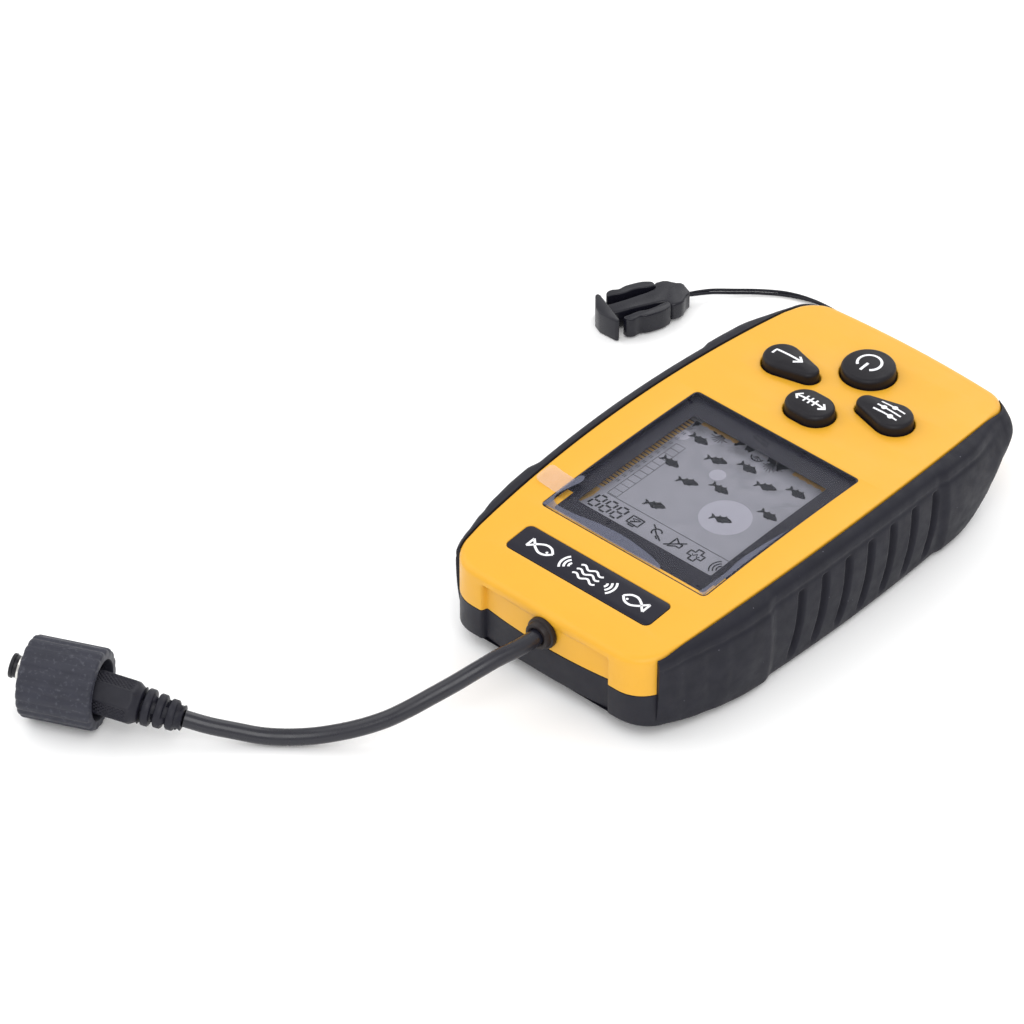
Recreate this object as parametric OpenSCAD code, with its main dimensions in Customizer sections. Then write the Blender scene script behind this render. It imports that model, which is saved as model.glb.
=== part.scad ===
// Handheld wired fish finder: a bright two-part case with rubber side grips, a sonar
// screen, four rubber keys, a short transducer lead with a screw-on plug, and a lanyard.
// +X is right as the face is read, +Y points to the lead, +Z comes out of the screen.
// The origin is under the middle of the handset, on the surface that it lies on.

/* [Case] */
// Length of the case
body_l = 125; // [124:0.5:126]
// Height of the case at the middle of its face
body_h = 25.5; // [25.4:0.1:26]
// Width of the coloured face at mid length
face_w = 64.2; // [63.6:0.2:64.6]
// Radius of the lengthwise arch of the face
arch_r = 650; // [600:10:700]
// Plan radius of the face's long edges
edge_r = 510; // [480:10:540]
// Radius of the curved stern
stern_r = 26.5; // [26:0.5:27]
// Wall thickness of both shells
wall = 2.2; // [2:0.1:2.4]
// Height of the line where the two shells meet
part_z = 12.6; // [12.4:0.1:12.8]
// Half width of the step in the lead end
step_hw = 17.5; // [16:0.5:18.5]
// Depth of the step in the lead end
step_d = 1.1; // [0.8:0.1:1.2]

/* [Grips] */
// Width over both grips
grip_w = 72.6; // [72:0.2:73]
// Width over the ribbed waist
waist_w = 70; // [69.4:0.2:70.6]
// Pitch of the grip's grooves
rib_pitch = 7.5; // [7:0.1:7.7]
// Number of grooves in each waist
rib_n = 7; // [5:1:7]
// Radius of a groove
rib_r = 1.2; // [0.8:0.1:1.3]

/* [Window and plate] */
// Width of the window
window_w = 47; // [46:0.5:47.5]
// Length of the window
window_l = 52; // [51:0.5:52.5]
// Place of the window's middle along the case
window_y = 11.5; // [11:0.1:12]
// Thickness of the window
lens_t = 1.4; // [1.2:0.1:1.5]
// Width of the part of the screen that shows
view_w = 38.2; // [37:0.2:39]
// Ends of the part of the screen that shows
view_y0 = -8.4; // [-9:0.2:-8]
// Far end of the part of the screen that shows
view_y1 = 30.3; // [30:0.1:31]
// Width of the name plate
plate_w = 41; // [38:0.5:43]
// Length of the name plate along the case
plate_l = 8.6; // [8:0.2:9]
// Place of the name plate along the case
plate_y = 47.9; // [47.6:0.1:48.4]

/* [Keys] */
// Height that a key stands above the face
key_proud = 3; // [2.6:0.1:3.2]
// Travel of a key
key_travel = 0.8; // [0.6:0.1:0.8]
// Clearance round a key
key_gap = 0.35; // [0.3:0.05:0.4]
// Radius of the round power key
power_r = 6.2; // [6:0.1:6.6]
// Place of the power key along the case
power_y = -46; // [-46.2:0.1:-45.4]
// End radius of the long key
unit_r = 4.5; // [4.3:0.1:4.8]
// Place of the long key along the case
unit_y = -25.7; // [-26:0.1:-25.4]
// Big radius of a drop-shaped key
drop_r = 4.5; // [4.1:0.1:4.6]
// Small radius of a drop-shaped key
drop_tip_r = 2.5; // [2.3:0.1:2.7]
// Place of both drop-shaped keys along the case
drop_y = -35.3; // [-35.5:0.1:-35]
// Distance from the middle line to a drop's big end
drop_x = 16; // [15.7:0.1:16.3]

/* [Lead and plug] */
// Diameter of the lead
lead_d = 3.8; // [3.4:0.1:4]
// Height of the lead's outlet
outlet_z = 17.2; // [17:0.1:17.4]
// Outer diameter of the coupling nut
nut_d = 18.3; // [18:0.1:18.3]
// Length of the coupling nut
nut_l = 16.8; // [16:0.2:17]
// Direction of the nut's axis, from +X towards +Y
nut_turn = 25; // [24:0.5:26]
// Angle by which the loose plug droops in the nut
plug_droop = 7.7; // [7:0.1:8]
// Radius of the plug's barrel
barrel_r = 2.75; // [2.74:0.01:2.76]

/* [Lanyard] */
// Diameter of the doubled lanyard cord
cord_d = 1.4; // [1.2:0.1:1.5]
// Direction of the clip, from +X towards +Y
clip_turn = 67; // [66:1:68]

/* [Hidden] */

// Round surfaces and the steps of curved outlines
$fn = 64;
curve_n = 18;
arch_n = 26;

// Plan and side profile of the case
end_y = body_l / 2;
end_corner_r = 8;
end_bow_r = 128;
stern_corner_r = 7;
stern_y = -end_y + stern_r;
stern_drop = 3;
rise_y = 26;
rise_r = 151;
lead_wall = 3.4;
pocket_z = 21.5;
pocket_top_z = 23.4;
seal_in = 0.7;
seal_w = 0.8;
seal_h = 1;
seal_stern = 4.3;

// Grip surfaces
grip_corner_r = 8;
waist_y0 = -30;
waist_y1 = 24;
waist_blend = 4;
taper_r = 58;
taper_a = 26;
tip_r = 3;
groove_lean = 4;
groove_top_y = 18;

// Board stack, from the battery bay up
bay_hw = 22.3;
bay_y0 = -32.5;
bay_y1 = 17.5;
bay_wall = 1.6;
bay_roof_z = 13;
bay_roof_t = 1;
board_z = 16;
board_t = 1.6;
board_top = board_z + board_t;
board_hw = 26;
glass_z = 20;
glass_t = 2;
glass_hw = 21;
glass_y0 = -11;
glass_y1 = 33;
light_z = 18.2;
light_t = 1.6;
ledge = 2;
film_t = 0.15;
plate_t = 0.8;

// Keys: [x, y] of each, and the heights of their layers
key_lip = 0.8;
key_foot_z = 19.2;
key_lip_t = 1.4;
pill_r = 2.4;
pill_t = 0.6;
pill_z = key_foot_z - pill_t;
pad_t = 0.06;
sheet_t = 0.6;
drop_tip_x = 8.5;
unit_half = 1.45;

// Battery bay: four cells side by side
cell_r = 5.25;
cell_l = 43.3;
nub_r = 1.9;
nub_l = 1.2;
cell_pitch = 11;
cell_z = 7.4;
contact_t = 0.4;
cell_n = 4;

// Battery door
door_hw = 23.7;
door_y0 = -34.7;
door_y1 = 21;
door_t = 1.3;
door_gap = 0.3;
hook_x = 12;
hook_hw = 3;
hook_back = 0.6;
hook_reach = 1.3;
hook_t = 0.8;
bay_rim = 7;

// Fasteners
case_screw_places = [[24.5, 50], [-24.5, 50], [23.6, -50], [-23.6, -50]];
case_pilot_r = 1.3;
case_shank_r = 1.25;
case_boss_r = 3.2;
head_z = 6.4;
head_r = 2.4;
board_screw_places = [[22, 41], [-22, 41], [22, -43], [-22, -43]];
board_shank_r = 0.9;
board_post_r = 2;

// Outlet, plug and nut
gland_flange_r = 3.3;
gland_r = 3.75;
gland_neck_r = 3.1;
gland_face_y = 63.6;
gland_inner_y = 55;
header_y1 = 47;
lead_r = lead_d / 2;
nut_r = nut_d / 2;
nut_rear = [63.2, 132.8, nut_r];
nut_hole_r = 6.6;
nut_bore_r = 7.6;
nut_back_t = 3;
nut_groove_n = 20;
// The plug's axis crosses the nut's axis this far ahead of the nut's back
cross_l = 6;
plug_tail_l = 24.4;
plug_tip_l = 13.7;
grip_flat_r = 5.1;
relief_l = 9.4;
relief_r0 = 4.1;
relief_r1 = 3;
flange_r = 7.1;
flange_l = 1.6;
neck_r = 3.6;
barrel_l = 9.5;
insulator_l = 1.6;

// Lanyard bar and clip
bar_y = -53.8;
bar_z = 8.4;
bar_r = 1.1;
notch_x0 = 9;
notch_x1 = 18;
notch_y = -50.4;
notch_z0 = 4;
notch_z1 = 11.2;
clip_at = [71.2, -51.1, 0];
cord_r = cord_d / 2;

// Routes of the two free cords, end to end
lead_route = [[0, 63.6, 17.2], [0.6, 69, 16.8], [2.2, 74.4, 16.2], [3.8, 79.4, 15],
    [5.8, 84.2, 13.2], [8.2, 88.8, 11.2], [10.8, 93.2, 9], [13.8, 97.2, 6.8], [17.4, 101.2, 5],
    [21.2, 104.8, 3.6], [25.2, 108.4, 2.6], [29.4, 112, 2.2], [33.6, 115.4, 2.4], [38, 118.8, 3.4],
    [42.2, 122.2, 4.6], [46.6, 125.1, 5.9]];
lanyard_route = [[13.5, -54.8, 8.4], [13.5, -58, 8.3], [13.9, -62.5, 7], [15.4, -67, 4.2],
    [18, -71.2, 1.8], [22, -75, 0.9], [27.6, -78.4, 0.8], [34, -80.8, 0.8], [40, -82, 0.8],
    [46, -81.4, 0.8], [51.6, -79.4, 0.8], [56.6, -75.9, 0.9], [60.8, -71.6, 1.3],
    [64.3, -66.8, 2.2], [66.8, -61.6, 3]];
lead_rings = 1;
lanyard_rings = 2;
cord_sides = 8;

// ---- Outlines ----

function face_z(y) = body_h - arch_r + sqrt(arch_r * arch_r - y * y);
function face_hw(y, i) = face_w / 2 - i - y * y / (2 * edge_r);
function arc(c, r, a0, a1, n = 6) =
    [for (k = [0 : n]) let (a = a0 + (a1 - a0) * k / n) [c[0] + r * cos(a), c[1] + r * sin(a)]];
function mirror_x(p) = [for (k = [len(p) - 1 : -1 : 0]) [-p[k][0], p[k][1]]];

// Half outline of the case seen from above, moved in by i, by e at the lead end, and with
// its stern moved in by f
function plan_half(i, e, f) =
    let (c0 = [face_hw(-end_y + stern_corner_r + 1, i) - stern_corner_r + i,
               -end_y + f + 1 + stern_corner_r],
         c1 = [face_hw(end_y - end_corner_r, i) - end_corner_r + i, end_y - e - end_corner_r + i],
         y0 = c0[1], y1 = c1[1])
    concat([[0, -end_y + f + i]], arc(c0, stern_corner_r - i, -90, 0),
        [for (k = [1 : curve_n - 1]) let (y = y0 + (y1 - y0) * k / curve_n) [face_hw(y, i), y]],
        arc(c1, end_corner_r - i, 0, 90));

module plan(i = 0, e = 0, f = 0) {
    h = plan_half(i, e, f);
    polygon(concat(h, mirror_x(h)));
}

// Points of the face's arch seen from the side, sunk by d, from the lead end to the stern
arch_a = asin((end_y + 2) / arch_r);
function arch(d) = arc([0, body_h - arch_r], arch_r - d, 90 - arch_a, 90 + arch_a, arch_n);

// An outline of the side view, given as [y, z], drawn out across the case
module across(pts) {
    rotate([90, 0, 90]) linear_extrude(height = 90, center = true) polygon(pts);
}

// Block between the arch, the stern curve, the flat bottom and the rise to the lead end
module side_block(i = 0, e = 0) {
    rise_a = asin((end_y - e - rise_y) / (rise_r - i));
    stern_a = 180 + asin((stern_r - body_h + stern_drop + i) / (stern_r - i));
    top_y0 = stern_y + (stern_r - i) * cos(stern_a);
    top = [for (q = arch(i)) if (q[0] < end_y - e - 1 && q[0] > top_y0 + 1) q];
    across(concat(arc([stern_y, stern_r], stern_r - i, stern_a, 270, 14),
        arc([rise_y, rise_r], rise_r - i, -90, -90 + rise_a, 5),
        [[end_y - e, face_z(end_y - e) - i]], top));
}

// The case as a solid, moved in by i, and by e at the lead end
module case_solid(i = 0, e = 0) {
    intersection() {
        linear_extrude(height = 40) plan(i, e);
        side_block(i, e);
    }
}

// Pocket in the lead end: its wall bows out until it is flush in the middle
module step_cut() {
    lean = 1.2;
    depth = step_d + 0.2;
    difference() {
        translate([0, end_y + 5, 0]) rotate([90, 0, 0]) linear_extrude(height = 5 + depth)
            polygon([[-step_hw - lean, -1], [step_hw + lean, -1], [step_hw, pocket_z],
                [step_hw - 2, pocket_top_z], [2 - step_hw, pocket_top_z], [-step_hw, pocket_z]]);
        translate([0, end_y - end_bow_r, -2]) cylinder(r = end_bow_r, h = 40, $fn = 360);
    }
}

module block(x0, x1, y0, y1, z0, z1) {
    translate([x0, y0, z0]) cube([x1 - x0, y1 - y0, z1 - z0]);
}

module rod(r, z0, z1, at = [0, 0]) {
    translate([at[0], at[1], z0]) cylinder(r = r, h = z1 - z0);
}

// A layer that follows the arch of the face, from d0 to d1 below it
module arch_layer(d0, d1) {
    low = arch(d1);
    intersection() {
        across(concat(arch(d0), [for (k = [len(low) - 1 : -1 : 0]) low[k]]));
        translate([0, 0, 15]) linear_extrude(height = 20) children();
    }
}

module rounded_rect(w, l, r) {
    square([w - 2 * r, l], center = true);
    square([w, l - 2 * r], center = true);
    for (x = [-1, 1], y = [-1, 1]) translate([x * (w / 2 - r), y * (l / 2 - r)]) circle(r = r);
}

module window_outline(gap) {
    translate([0, window_y]) rounded_rect(window_w - 2 * gap, window_l - 2 * gap, 1.2);
}

module view_outline() {
    translate([-view_w / 2, view_y0]) square([view_w, view_y1 - view_y0]);
}

module plate_outline(gap) {
    translate([0, plate_y]) rounded_rect(plate_w - 2 * gap, plate_l - 2 * gap, 1.5);
}

// ---- Key outlines, grown by g ----

module power_outline(g) {
    translate([0, power_y]) circle(r = power_r + g);
}

module unit_outline(g) {
    for (x = [-unit_half, unit_half]) translate([x, unit_y]) circle(r = unit_r + g);
    translate([0, unit_y]) square([2 * unit_half, 2 * (unit_r + g)], center = true);
}

module enter_outline(g) {
    span = drop_x - drop_tip_x;
    a = acos((drop_r - drop_tip_r) / span);
    translate([drop_x, drop_y]) {
        circle(r = drop_r + g);
        translate([-span, 0]) circle(r = drop_tip_r + g);
        polygon([for (s = [1, -1], q = [[0, drop_r + g], [-span, drop_tip_r + g]])
            [q[0] - q[1] * cos(a), s * q[1] * sin(a)]], [[0, 1, 3, 2]]);
    }
}

module setup_outline(g) {
    mirror([1, 0]) enter_outline(g);
}

module all_keys(g) {
    power_outline(g);
    unit_outline(g);
    enter_outline(g);
    setup_outline(g);
}

// ---- Case ----

module bosses(r, z0, z1) {
    for (p = case_screw_places) rod(r, z0, z1, p);
}

// Ring between the shells, grown by g to make its groove
module seal_ring(g = 0) {
    a = seal_in - g;
    b = seal_in + seal_w + g;
    e = lead_wall - wall;
    translate([0, 0, part_z - seal_h / 2 - g]) linear_extrude(height = seal_h + 2 * g) difference() {
        plan(a, a + e, seal_stern);
        plan(b, b + e, seal_stern);
    }
}

module front_case() color([1, 0.77, 0.3]) {
    difference() {
        intersection() {
            case_solid();
            block(-50, 50, -70, 70, part_z, 40);
        }
        difference() {
            intersection() {
                case_solid(wall, lead_wall);
                block(-50, 50, -70, 70, part_z - 1, 40);
            }
            bosses(case_boss_r, part_z, 30);
            for (p = board_screw_places) rod(board_post_r, board_top, 30, p);
        }
        step_cut();
        arch_layer(-3, lens_t + 0.05) window_outline(0);
        translate([0, 0, 15]) linear_extrude(height = 20)
            translate([0, window_y]) square([window_w - 2 * ledge, window_l - 2 * ledge], center = true);
        arch_layer(-3, plate_t + 0.05) plate_outline(0);
        translate([0, 0, 15]) linear_extrude(height = 20) all_keys(key_gap);
        bosses(case_pilot_r, part_z - 1, 20.5);
        for (p = board_screw_places) rod(board_shank_r + 0.05, board_top - 1, 20.6, p);
        translate([0, 50, outlet_z]) rotate([-90, 0, 0]) cylinder(r = gland_neck_r + 0.05, h = 15);
        seal_ring(0.1);
    }
}

module back_case() color([0.17, 0.17, 0.2]) {
    difference() {
        intersection() {
            case_solid();
            block(-50, 50, -70, 70, -1, part_z);
        }
        difference() {
            case_solid(wall, lead_wall);
            bosses(case_boss_r, 0, part_z);
            block(-bay_hw - bay_wall, bay_hw + bay_wall, bay_y0 - bay_wall, bay_y1 + bay_rim,
                0, bay_roof_z + bay_roof_t);
            block(notch_x0 - 2, notch_x1 + 2, -70, notch_y + 1.6, 0, part_z);
        }
        block(-bay_hw, bay_hw, bay_y0, bay_y1, -1, bay_roof_z);
        block(-door_hw - door_gap, door_hw + door_gap, door_y0 - door_gap, door_y1 + door_gap,
            -1, door_t + 0.1);
        door_seal_ring(0.05);
        for (s = [-1, 1])
            block(s * hook_x - hook_hw - 0.4, s * hook_x + hook_hw + 0.4, bay_y1 + 1.6,
                door_y1 + hook_reach + 1, door_t - 0.1, door_t + 3);
        for (p = case_screw_places) {
            rod(case_shank_r + 0.1, -1, 14, p);
            rod(head_r + 0.4, -1, head_z, p);
        }
        block(notch_x0, notch_x1, -70, notch_y, notch_z0, notch_z1);
        for (x = [notch_x0 - 1, notch_x1 + 1])
            translate([x, bar_y, bar_z]) rotate([0, 90, 0])
                cylinder(r = bar_r + 0.02, h = 2.2, center = true);
        step_cut();
        seal_ring(0.1);
    }
}

module case_seal() color([0.35, 0.35, 0.37]) seal_ring();

// ---- Grips ----

// Half outline of a grip's outer side, seen from above
function grip_half() =
    let (g = grip_w / 2, w = waist_w / 2, c = g - grip_corner_r, b = waist_blend)
    concat([[20, -end_y]], arc([c, -end_y + 1 + grip_corner_r], grip_corner_r, -90, 0),
        [[g, waist_y0 - b], [w, waist_y0], [w, waist_y1], [g, waist_y1 + b]],
        arc([g - taper_r, waist_y1 + 2 * b], taper_r, 0, taper_a, 10),
        arc([g - taper_r + (taper_r - tip_r) * cos(taper_a),
             waist_y1 + 2 * b + (taper_r - tip_r) * sin(taper_a)], tip_r, taper_a, 90),
        [[20, waist_y1 + 2 * b + (taper_r - tip_r) * sin(taper_a) + tip_r]]);

module grip_section() {
    polygon([[20, 0.4], [33, 0.4], [34.4, 3], [35.6, 7], [36.4, 12], [36.4, 19.5],
        [35.6, 22.4], [34.2, 24.3], [32.3, 25.4], [20, 25.4]]);
}

module grip_groove(k) {
    y = groove_top_y - k * rib_pitch;
    lean = atan(groove_lean / 15);
    translate([waist_w / 2 + 0.3, y + groove_lean, 3]) rotate([lean, 0, 0])
        cylinder(r = rib_r, h = 17, $fn = 24);
}

module grip() color([0.19, 0.19, 0.22]) {
    difference() {
        intersection() {
            linear_extrude(height = 40) polygon(grip_half());
            translate([0, end_y, 0]) rotate([90, 0, 0]) linear_extrude(height = body_l) grip_section();
            side_block();
        }
        case_solid();
        block(0, 28.4, -70, 70, -1, 40);
        for (k = [0 : rib_n - 1]) grip_groove(k);
    }
}

module grip_right() grip();
module grip_left() mirror([1, 0, 0]) grip();

// ---- Window, screen and plate ----

module window_lens() color([0.75, 0.8, 0.85, 0.4]) arch_layer(0.05, lens_t) window_outline(0.15);

module window_mask() color([0.1, 0.1, 0.12]) arch_layer(lens_t + 0.1, lens_t + 0.2) difference() {
    translate([0, window_y])
        square([window_w - 2 * ledge - 0.4, window_l - 2 * ledge - 0.4], center = true);
    view_outline();
}

module screen_film() color([0.8, 0.85, 0.9, 0.3]) arch_layer(-film_t, 0) union() {
    window_outline(0.3);
    translate([window_w / 2 - 6, window_y + window_l / 2 - 6]) square([9, 8.5]);
}

module lcd_glass() color([0.62, 0.62, 0.66])
    block(-glass_hw, glass_hw, glass_y0, glass_y1, glass_z, glass_z + glass_t);

module lcd_backlight() color([0.9, 0.9, 0.88])
    block(-glass_hw, glass_hw, glass_y0, glass_y1 - 2.6, light_z, light_z + light_t);

module lcd_holder() color([0.9, 0.9, 0.9]) difference() {
    block(-glass_hw - 2, glass_hw + 2, glass_y0 - 2, glass_y1 + 2, board_top, glass_z + glass_t);
    block(-glass_hw - 0.2, glass_hw + 0.2, glass_y0 - 0.2, glass_y1 + 0.2, 0, 40);
}

module lcd_connector_strip() color([0.8, 0.35, 0.4])
    block(-19, 19, glass_y1 - 2, glass_y1 - 0.4, board_top, glass_z);

module name_plate() color([0.13, 0.13, 0.15]) arch_layer(0.05, plate_t) plate_outline(0.1);

// ---- Keys ----

// A key: children give its outline at the lip, the stem and the crown
module key(y) color([0.15, 0.15, 0.17]) {
    top = face_z(y) + key_proud;
    translate([0, 0, key_foot_z]) linear_extrude(height = key_lip_t) children(0);
    translate([0, 0, key_foot_z]) linear_extrude(height = top - 0.7 - key_foot_z) children(1);
    translate([0, 0, key_foot_z]) linear_extrude(height = top - key_foot_z) children(2);
}

module key_power() key(power_y) {
    power_outline(key_lip);
    power_outline(0);
    power_outline(-0.9);
}

module key_unit() key(unit_y) {
    unit_outline(key_lip);
    unit_outline(0);
    unit_outline(-0.9);
}

module key_enter() key(drop_y) {
    enter_outline(key_lip);
    enter_outline(0);
    enter_outline(-0.9);
}

module key_setup() key(drop_y) {
    setup_outline(key_lip);
    setup_outline(0);
    setup_outline(-0.9);
}

module pill(x, y) color([0.08, 0.08, 0.08]) rod(pill_r, pill_z, key_foot_z, [x, y]);
module pill_power() pill(0, power_y);
module pill_unit() pill(0, unit_y);
module pill_enter() pill(drop_x - 1, drop_y);
module pill_setup() pill(1 - drop_x, drop_y);

module keypad_sheet() color([0.2, 0.2, 0.22]) translate([0, 0, board_top])
    linear_extrude(height = sheet_t) difference() {
        translate([-18, -55.5]) square([36, 38.5]);
        translate([-25, -46]) square([50, 29]);
        all_keys(key_lip + 0.35);
        for (p = board_screw_places) translate(p) circle(r = board_post_r + 0.6);
    }

// ---- Board ----

module main_board() color([0.1, 0.4, 0.2]) difference() {
    translate([0, 0, board_z]) linear_extrude(height = board_t) {
        translate([-board_hw, -45.4]) square([2 * board_hw, 89.4]);
        translate([-17, -52.5]) square([34, 10]);
    }
    for (p = board_screw_places) rod(board_shank_r + 0.1, 10, 20, p);
}

module board_chips() color([0.08, 0.08, 0.09]) {
    block(-7, 7, -4, 10, board_z - 1.4, board_z);
    block(12, 20, -20, -12, board_z - 1.2, board_z);
    block(-20, -15, -24, -19, board_z - 1.2, board_z);
}

module board_capacitors() color([0.2, 0.25, 0.5]) {
    for (x = [-4, 4]) rod(2.5, board_z - 7, board_z, [x, 36]);
    rod(4, board_z - 9, board_z, [-17, 37]);
}

module key_contacts() color([0.85, 0.65, 0.2]) {
    for (p = [[0, power_y], [0, unit_y], [drop_x - 1, drop_y], [1 - drop_x, drop_y]])
        rod(pill_r + 0.4, board_top, board_top + pad_t, p);
}

module buzzer() color([0.07, 0.07, 0.07]) difference() {
    rod(6, board_z - 6, board_z, [16, 33]);
    rod(1, board_z - 7, board_z - 3, [16, 33]);
}

module pulse_transformer() color([0.75, 0.6, 0.2]) {
    block(-7, 7, 25.2, 27.2, board_z - 8, board_z);
    block(-7, 7, 31.2, 33.2, board_z - 8, board_z);
    block(-5, 5, 27.2, 31.2, board_z - 7.4, board_z - 0.6);
}

module board_screws() color([0.7, 0.7, 0.72]) for (p = board_screw_places) {
    rod(board_shank_r, board_z - 0.2, 20.4, p);
    rod(1.8, board_z - 1.4, board_z, p);
}

// ---- Battery bay ----

function cell_x(k) = (k - (cell_n - 1) / 2) * cell_pitch;
function cell_side(k) = k % 2 == 0 ? 1 : -1;

module bay_rod(r, y0, y1, x) {
    translate([x, min(y0, y1), cell_z]) rotate([-90, 0, 0]) cylinder(r = r, h = abs(y1 - y0));
}

// Each cell's button meets a plate at one end and its base meets a spring at the other
function nub_y(k) = cell_side(k) > 0 ? bay_y1 - contact_t : bay_y0 + contact_t;
function spring_y(k) = cell_side(k) > 0 ? bay_y0 + contact_t : bay_y1 - contact_t;
function base_y(k) = nub_y(k) - cell_side(k) * (cell_l + nub_l);

module battery_cells() color([0.2, 0.45, 0.3]) for (k = [0 : cell_n - 1]) {
    bay_rod(cell_r, base_y(k), nub_y(k) - cell_side(k) * nub_l, cell_x(k));
    bay_rod(nub_r, base_y(k), nub_y(k), cell_x(k));
}

module battery_springs() color([0.8, 0.8, 0.82]) for (k = [0 : cell_n - 1]) difference() {
    bay_rod(3.2, spring_y(k), base_y(k), cell_x(k));
    bay_rod(2.4, spring_y(k) - 1, spring_y(k) + 1, cell_x(k));
    bay_rod(2.4, spring_y(k), base_y(k), cell_x(k));
}

module battery_plates() color([0.8, 0.8, 0.82]) for (k = [0 : cell_n - 1], y = [bay_y0, bay_y1 - contact_t])
    block(cell_x(k) - 4.4, cell_x(k) + 4.4, y, y + contact_t, 3, 12.4);

module battery_door() color([0.17, 0.17, 0.2]) {
    difference() {
        block(-door_hw, door_hw, door_y0, door_y1, 0, door_t);
        for (k = [0 : 3]) translate([0, door_y0 + 5 + 2.4 * k, 0]) rotate([0, 90, 0])
            cylinder(r = 0.6, h = 16, center = true, $fn = 24);
    }
    for (s = [-1, 1])
        block(s * hook_x - hook_hw, s * hook_x + hook_hw, door_y1 - hook_back, door_y1 + hook_reach,
            door_t, door_t + hook_t);
}

// Ring between the door and the bay's rim, grown by g to make its groove
module door_seal_ring(g = 0) {
    difference() {
        block(-bay_hw - 1.1 - g, bay_hw + 1.1 + g, bay_y0 - 1.1 - g, bay_y1 + 1.1 + g,
            door_t, 1.85 + g);
        block(-bay_hw - 0.3 + g, bay_hw + 0.3 - g, bay_y0 - 0.3 + g, bay_y1 + 0.3 - g, 0, 3);
    }
}

module door_seal() color([0.35, 0.35, 0.37]) door_seal_ring();

module case_screws() color([0.72, 0.72, 0.74]) for (p = case_screw_places) difference() {
    union() {
        rod(case_shank_r, head_z, 20, p);
        rod(head_r, head_z - 1.8, head_z, p);
    }
    for (a = [0, 90]) translate([p[0], p[1], head_z - 1.8]) rotate([0, 0, a])
        cube([2.8, 0.6, 1.6], center = true);
}

// ---- Lead ----

module along_y(y0) {
    translate([0, y0, outlet_z]) rotate([-90, 0, 0]) children();
}

module cable_gland() color([0.12, 0.12, 0.13]) difference() {
    union() {
        along_y(end_y) cylinder(r = gland_r, h = gland_face_y - end_y);
        along_y(gland_inner_y) cylinder(r = gland_neck_r, h = end_y - gland_inner_y);
        along_y(gland_inner_y + 1)
            cylinder(r = gland_flange_r, h = end_y - lead_wall - gland_inner_y - 1);
    }
    along_y(gland_inner_y - 1) cylinder(r = lead_r + 0.05, h = 10);
    along_y(gland_face_y - 6) cylinder(r = lead_r + 0.05, h = 7);
}

module lead_tail() color([0.1, 0.1, 0.1]) {
    along_y(52) cylinder(r = lead_r, h = end_y - 52.1);
    for (s = [-1, 1]) translate([s * 0.9, header_y1, outlet_z + 1]) rotate([-90, 0, 0])
        cylinder(r = 0.7, h = 53 - header_y1, $fn = 16);
}

module lead_header() color([0.92, 0.9, 0.85])
    block(-4, 4, header_y1 - 5, header_y1, board_top, board_top + 3.6);

// A tube swept along a route: rings of cord_sides points, then two flat ends
function spline(p, t) = let (k = min(floor(t), len(p) - 2), u = t - k,
    a = k > 0 ? p[k - 1] : 2 * p[0] - p[1], b = p[k], c = p[k + 1],
    d = k + 2 < len(p) ? p[k + 2] : 2 * p[k + 1] - p[k])
    0.5 * (2 * b + (c - a) * u + (2 * a - 5 * b + 4 * c - d) * u * u
        + (3 * b - a - 3 * c + d) * u * u * u);
function unit(v) = v / norm(v);
function ring(at, dir, r) = let (s = unit(cross(dir, [0, 0, 1])), u = cross(s, dir))
    [for (k = [0 : cord_sides - 1]) let (a = 360 * (k + 0.5) / cord_sides)
        at + r * (cos(a) * s + sin(a) * u)];

module tube(route, r, per_span, start_dir, end_dir) {
    n = (len(route) - 1) * per_span;
    rings = [for (k = [0 : n]) let (t = k / per_span, h = 0.05)
        ring(spline(route, t), k == 0 ? start_dir : k == n ? end_dir
            : unit(spline(route, t + h) - spline(route, t - h)), r)];
    m = cord_sides;
    polyhedron([for (q = rings) each q], concat(
        [[for (k = [0 : m - 1]) k]],
        [for (j = [0 : n - 1], k = [0 : m - 1])
            [j * m + k, (j + 1) * m + k, (j + 1) * m + (k + 1) % m, j * m + (k + 1) % m]],
        [[for (k = [m - 1 : -1 : 0]) n * m + k]]));
}

function plug_dir() = [cos(plug_droop) * cos(nut_turn), cos(plug_droop) * sin(nut_turn),
    sin(plug_droop)];

module transducer_lead() color([0.16, 0.16, 0.19])
    tube(lead_route, lead_r, lead_rings, [0, 1, 0], plug_dir());

// ---- Plug and nut ----

// Children are turned so that their +Z runs along the plug, from where it crosses the nut
module on_plug() {
    at = nut_rear + cross_l * [cos(nut_turn), sin(nut_turn), 0];
    translate(at) rotate([0, 90 - plug_droop, nut_turn]) children();
}

module on_nut() {
    translate(nut_rear) rotate([0, 90, nut_turn]) children();
}

module plug_body() color([0.17, 0.17, 0.2]) on_plug() {
    grip_l = plug_tail_l - relief_l - 2;
    rotate([0, 0, 22.5]) rod(grip_flat_r, -grip_l, 0, $fn = 8);
    translate([0, 0, -grip_l - 2]) cylinder(r1 = relief_r0, r2 = grip_flat_r - 0.7, h = 2);
    for (k = [0 : 2]) rod(relief_r0 - 0.35 * k, -grip_l - 4.4 - 2.7 * k, -grip_l - 2.7 - 2.7 * k);
    rod(relief_r1 - 0.4, -plug_tail_l, -grip_l - 1);
    rod(flange_r, 0, flange_l);
    rod(neck_r, flange_l, plug_tip_l - barrel_l);
}

module plug_seal_ring() color([0.6, 0.25, 0.2]) on_plug() difference() {
    rod(neck_r + 1.2, flange_l, flange_l + 1.4);
    rod(neck_r + 0.02, 0, 5);
}

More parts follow.
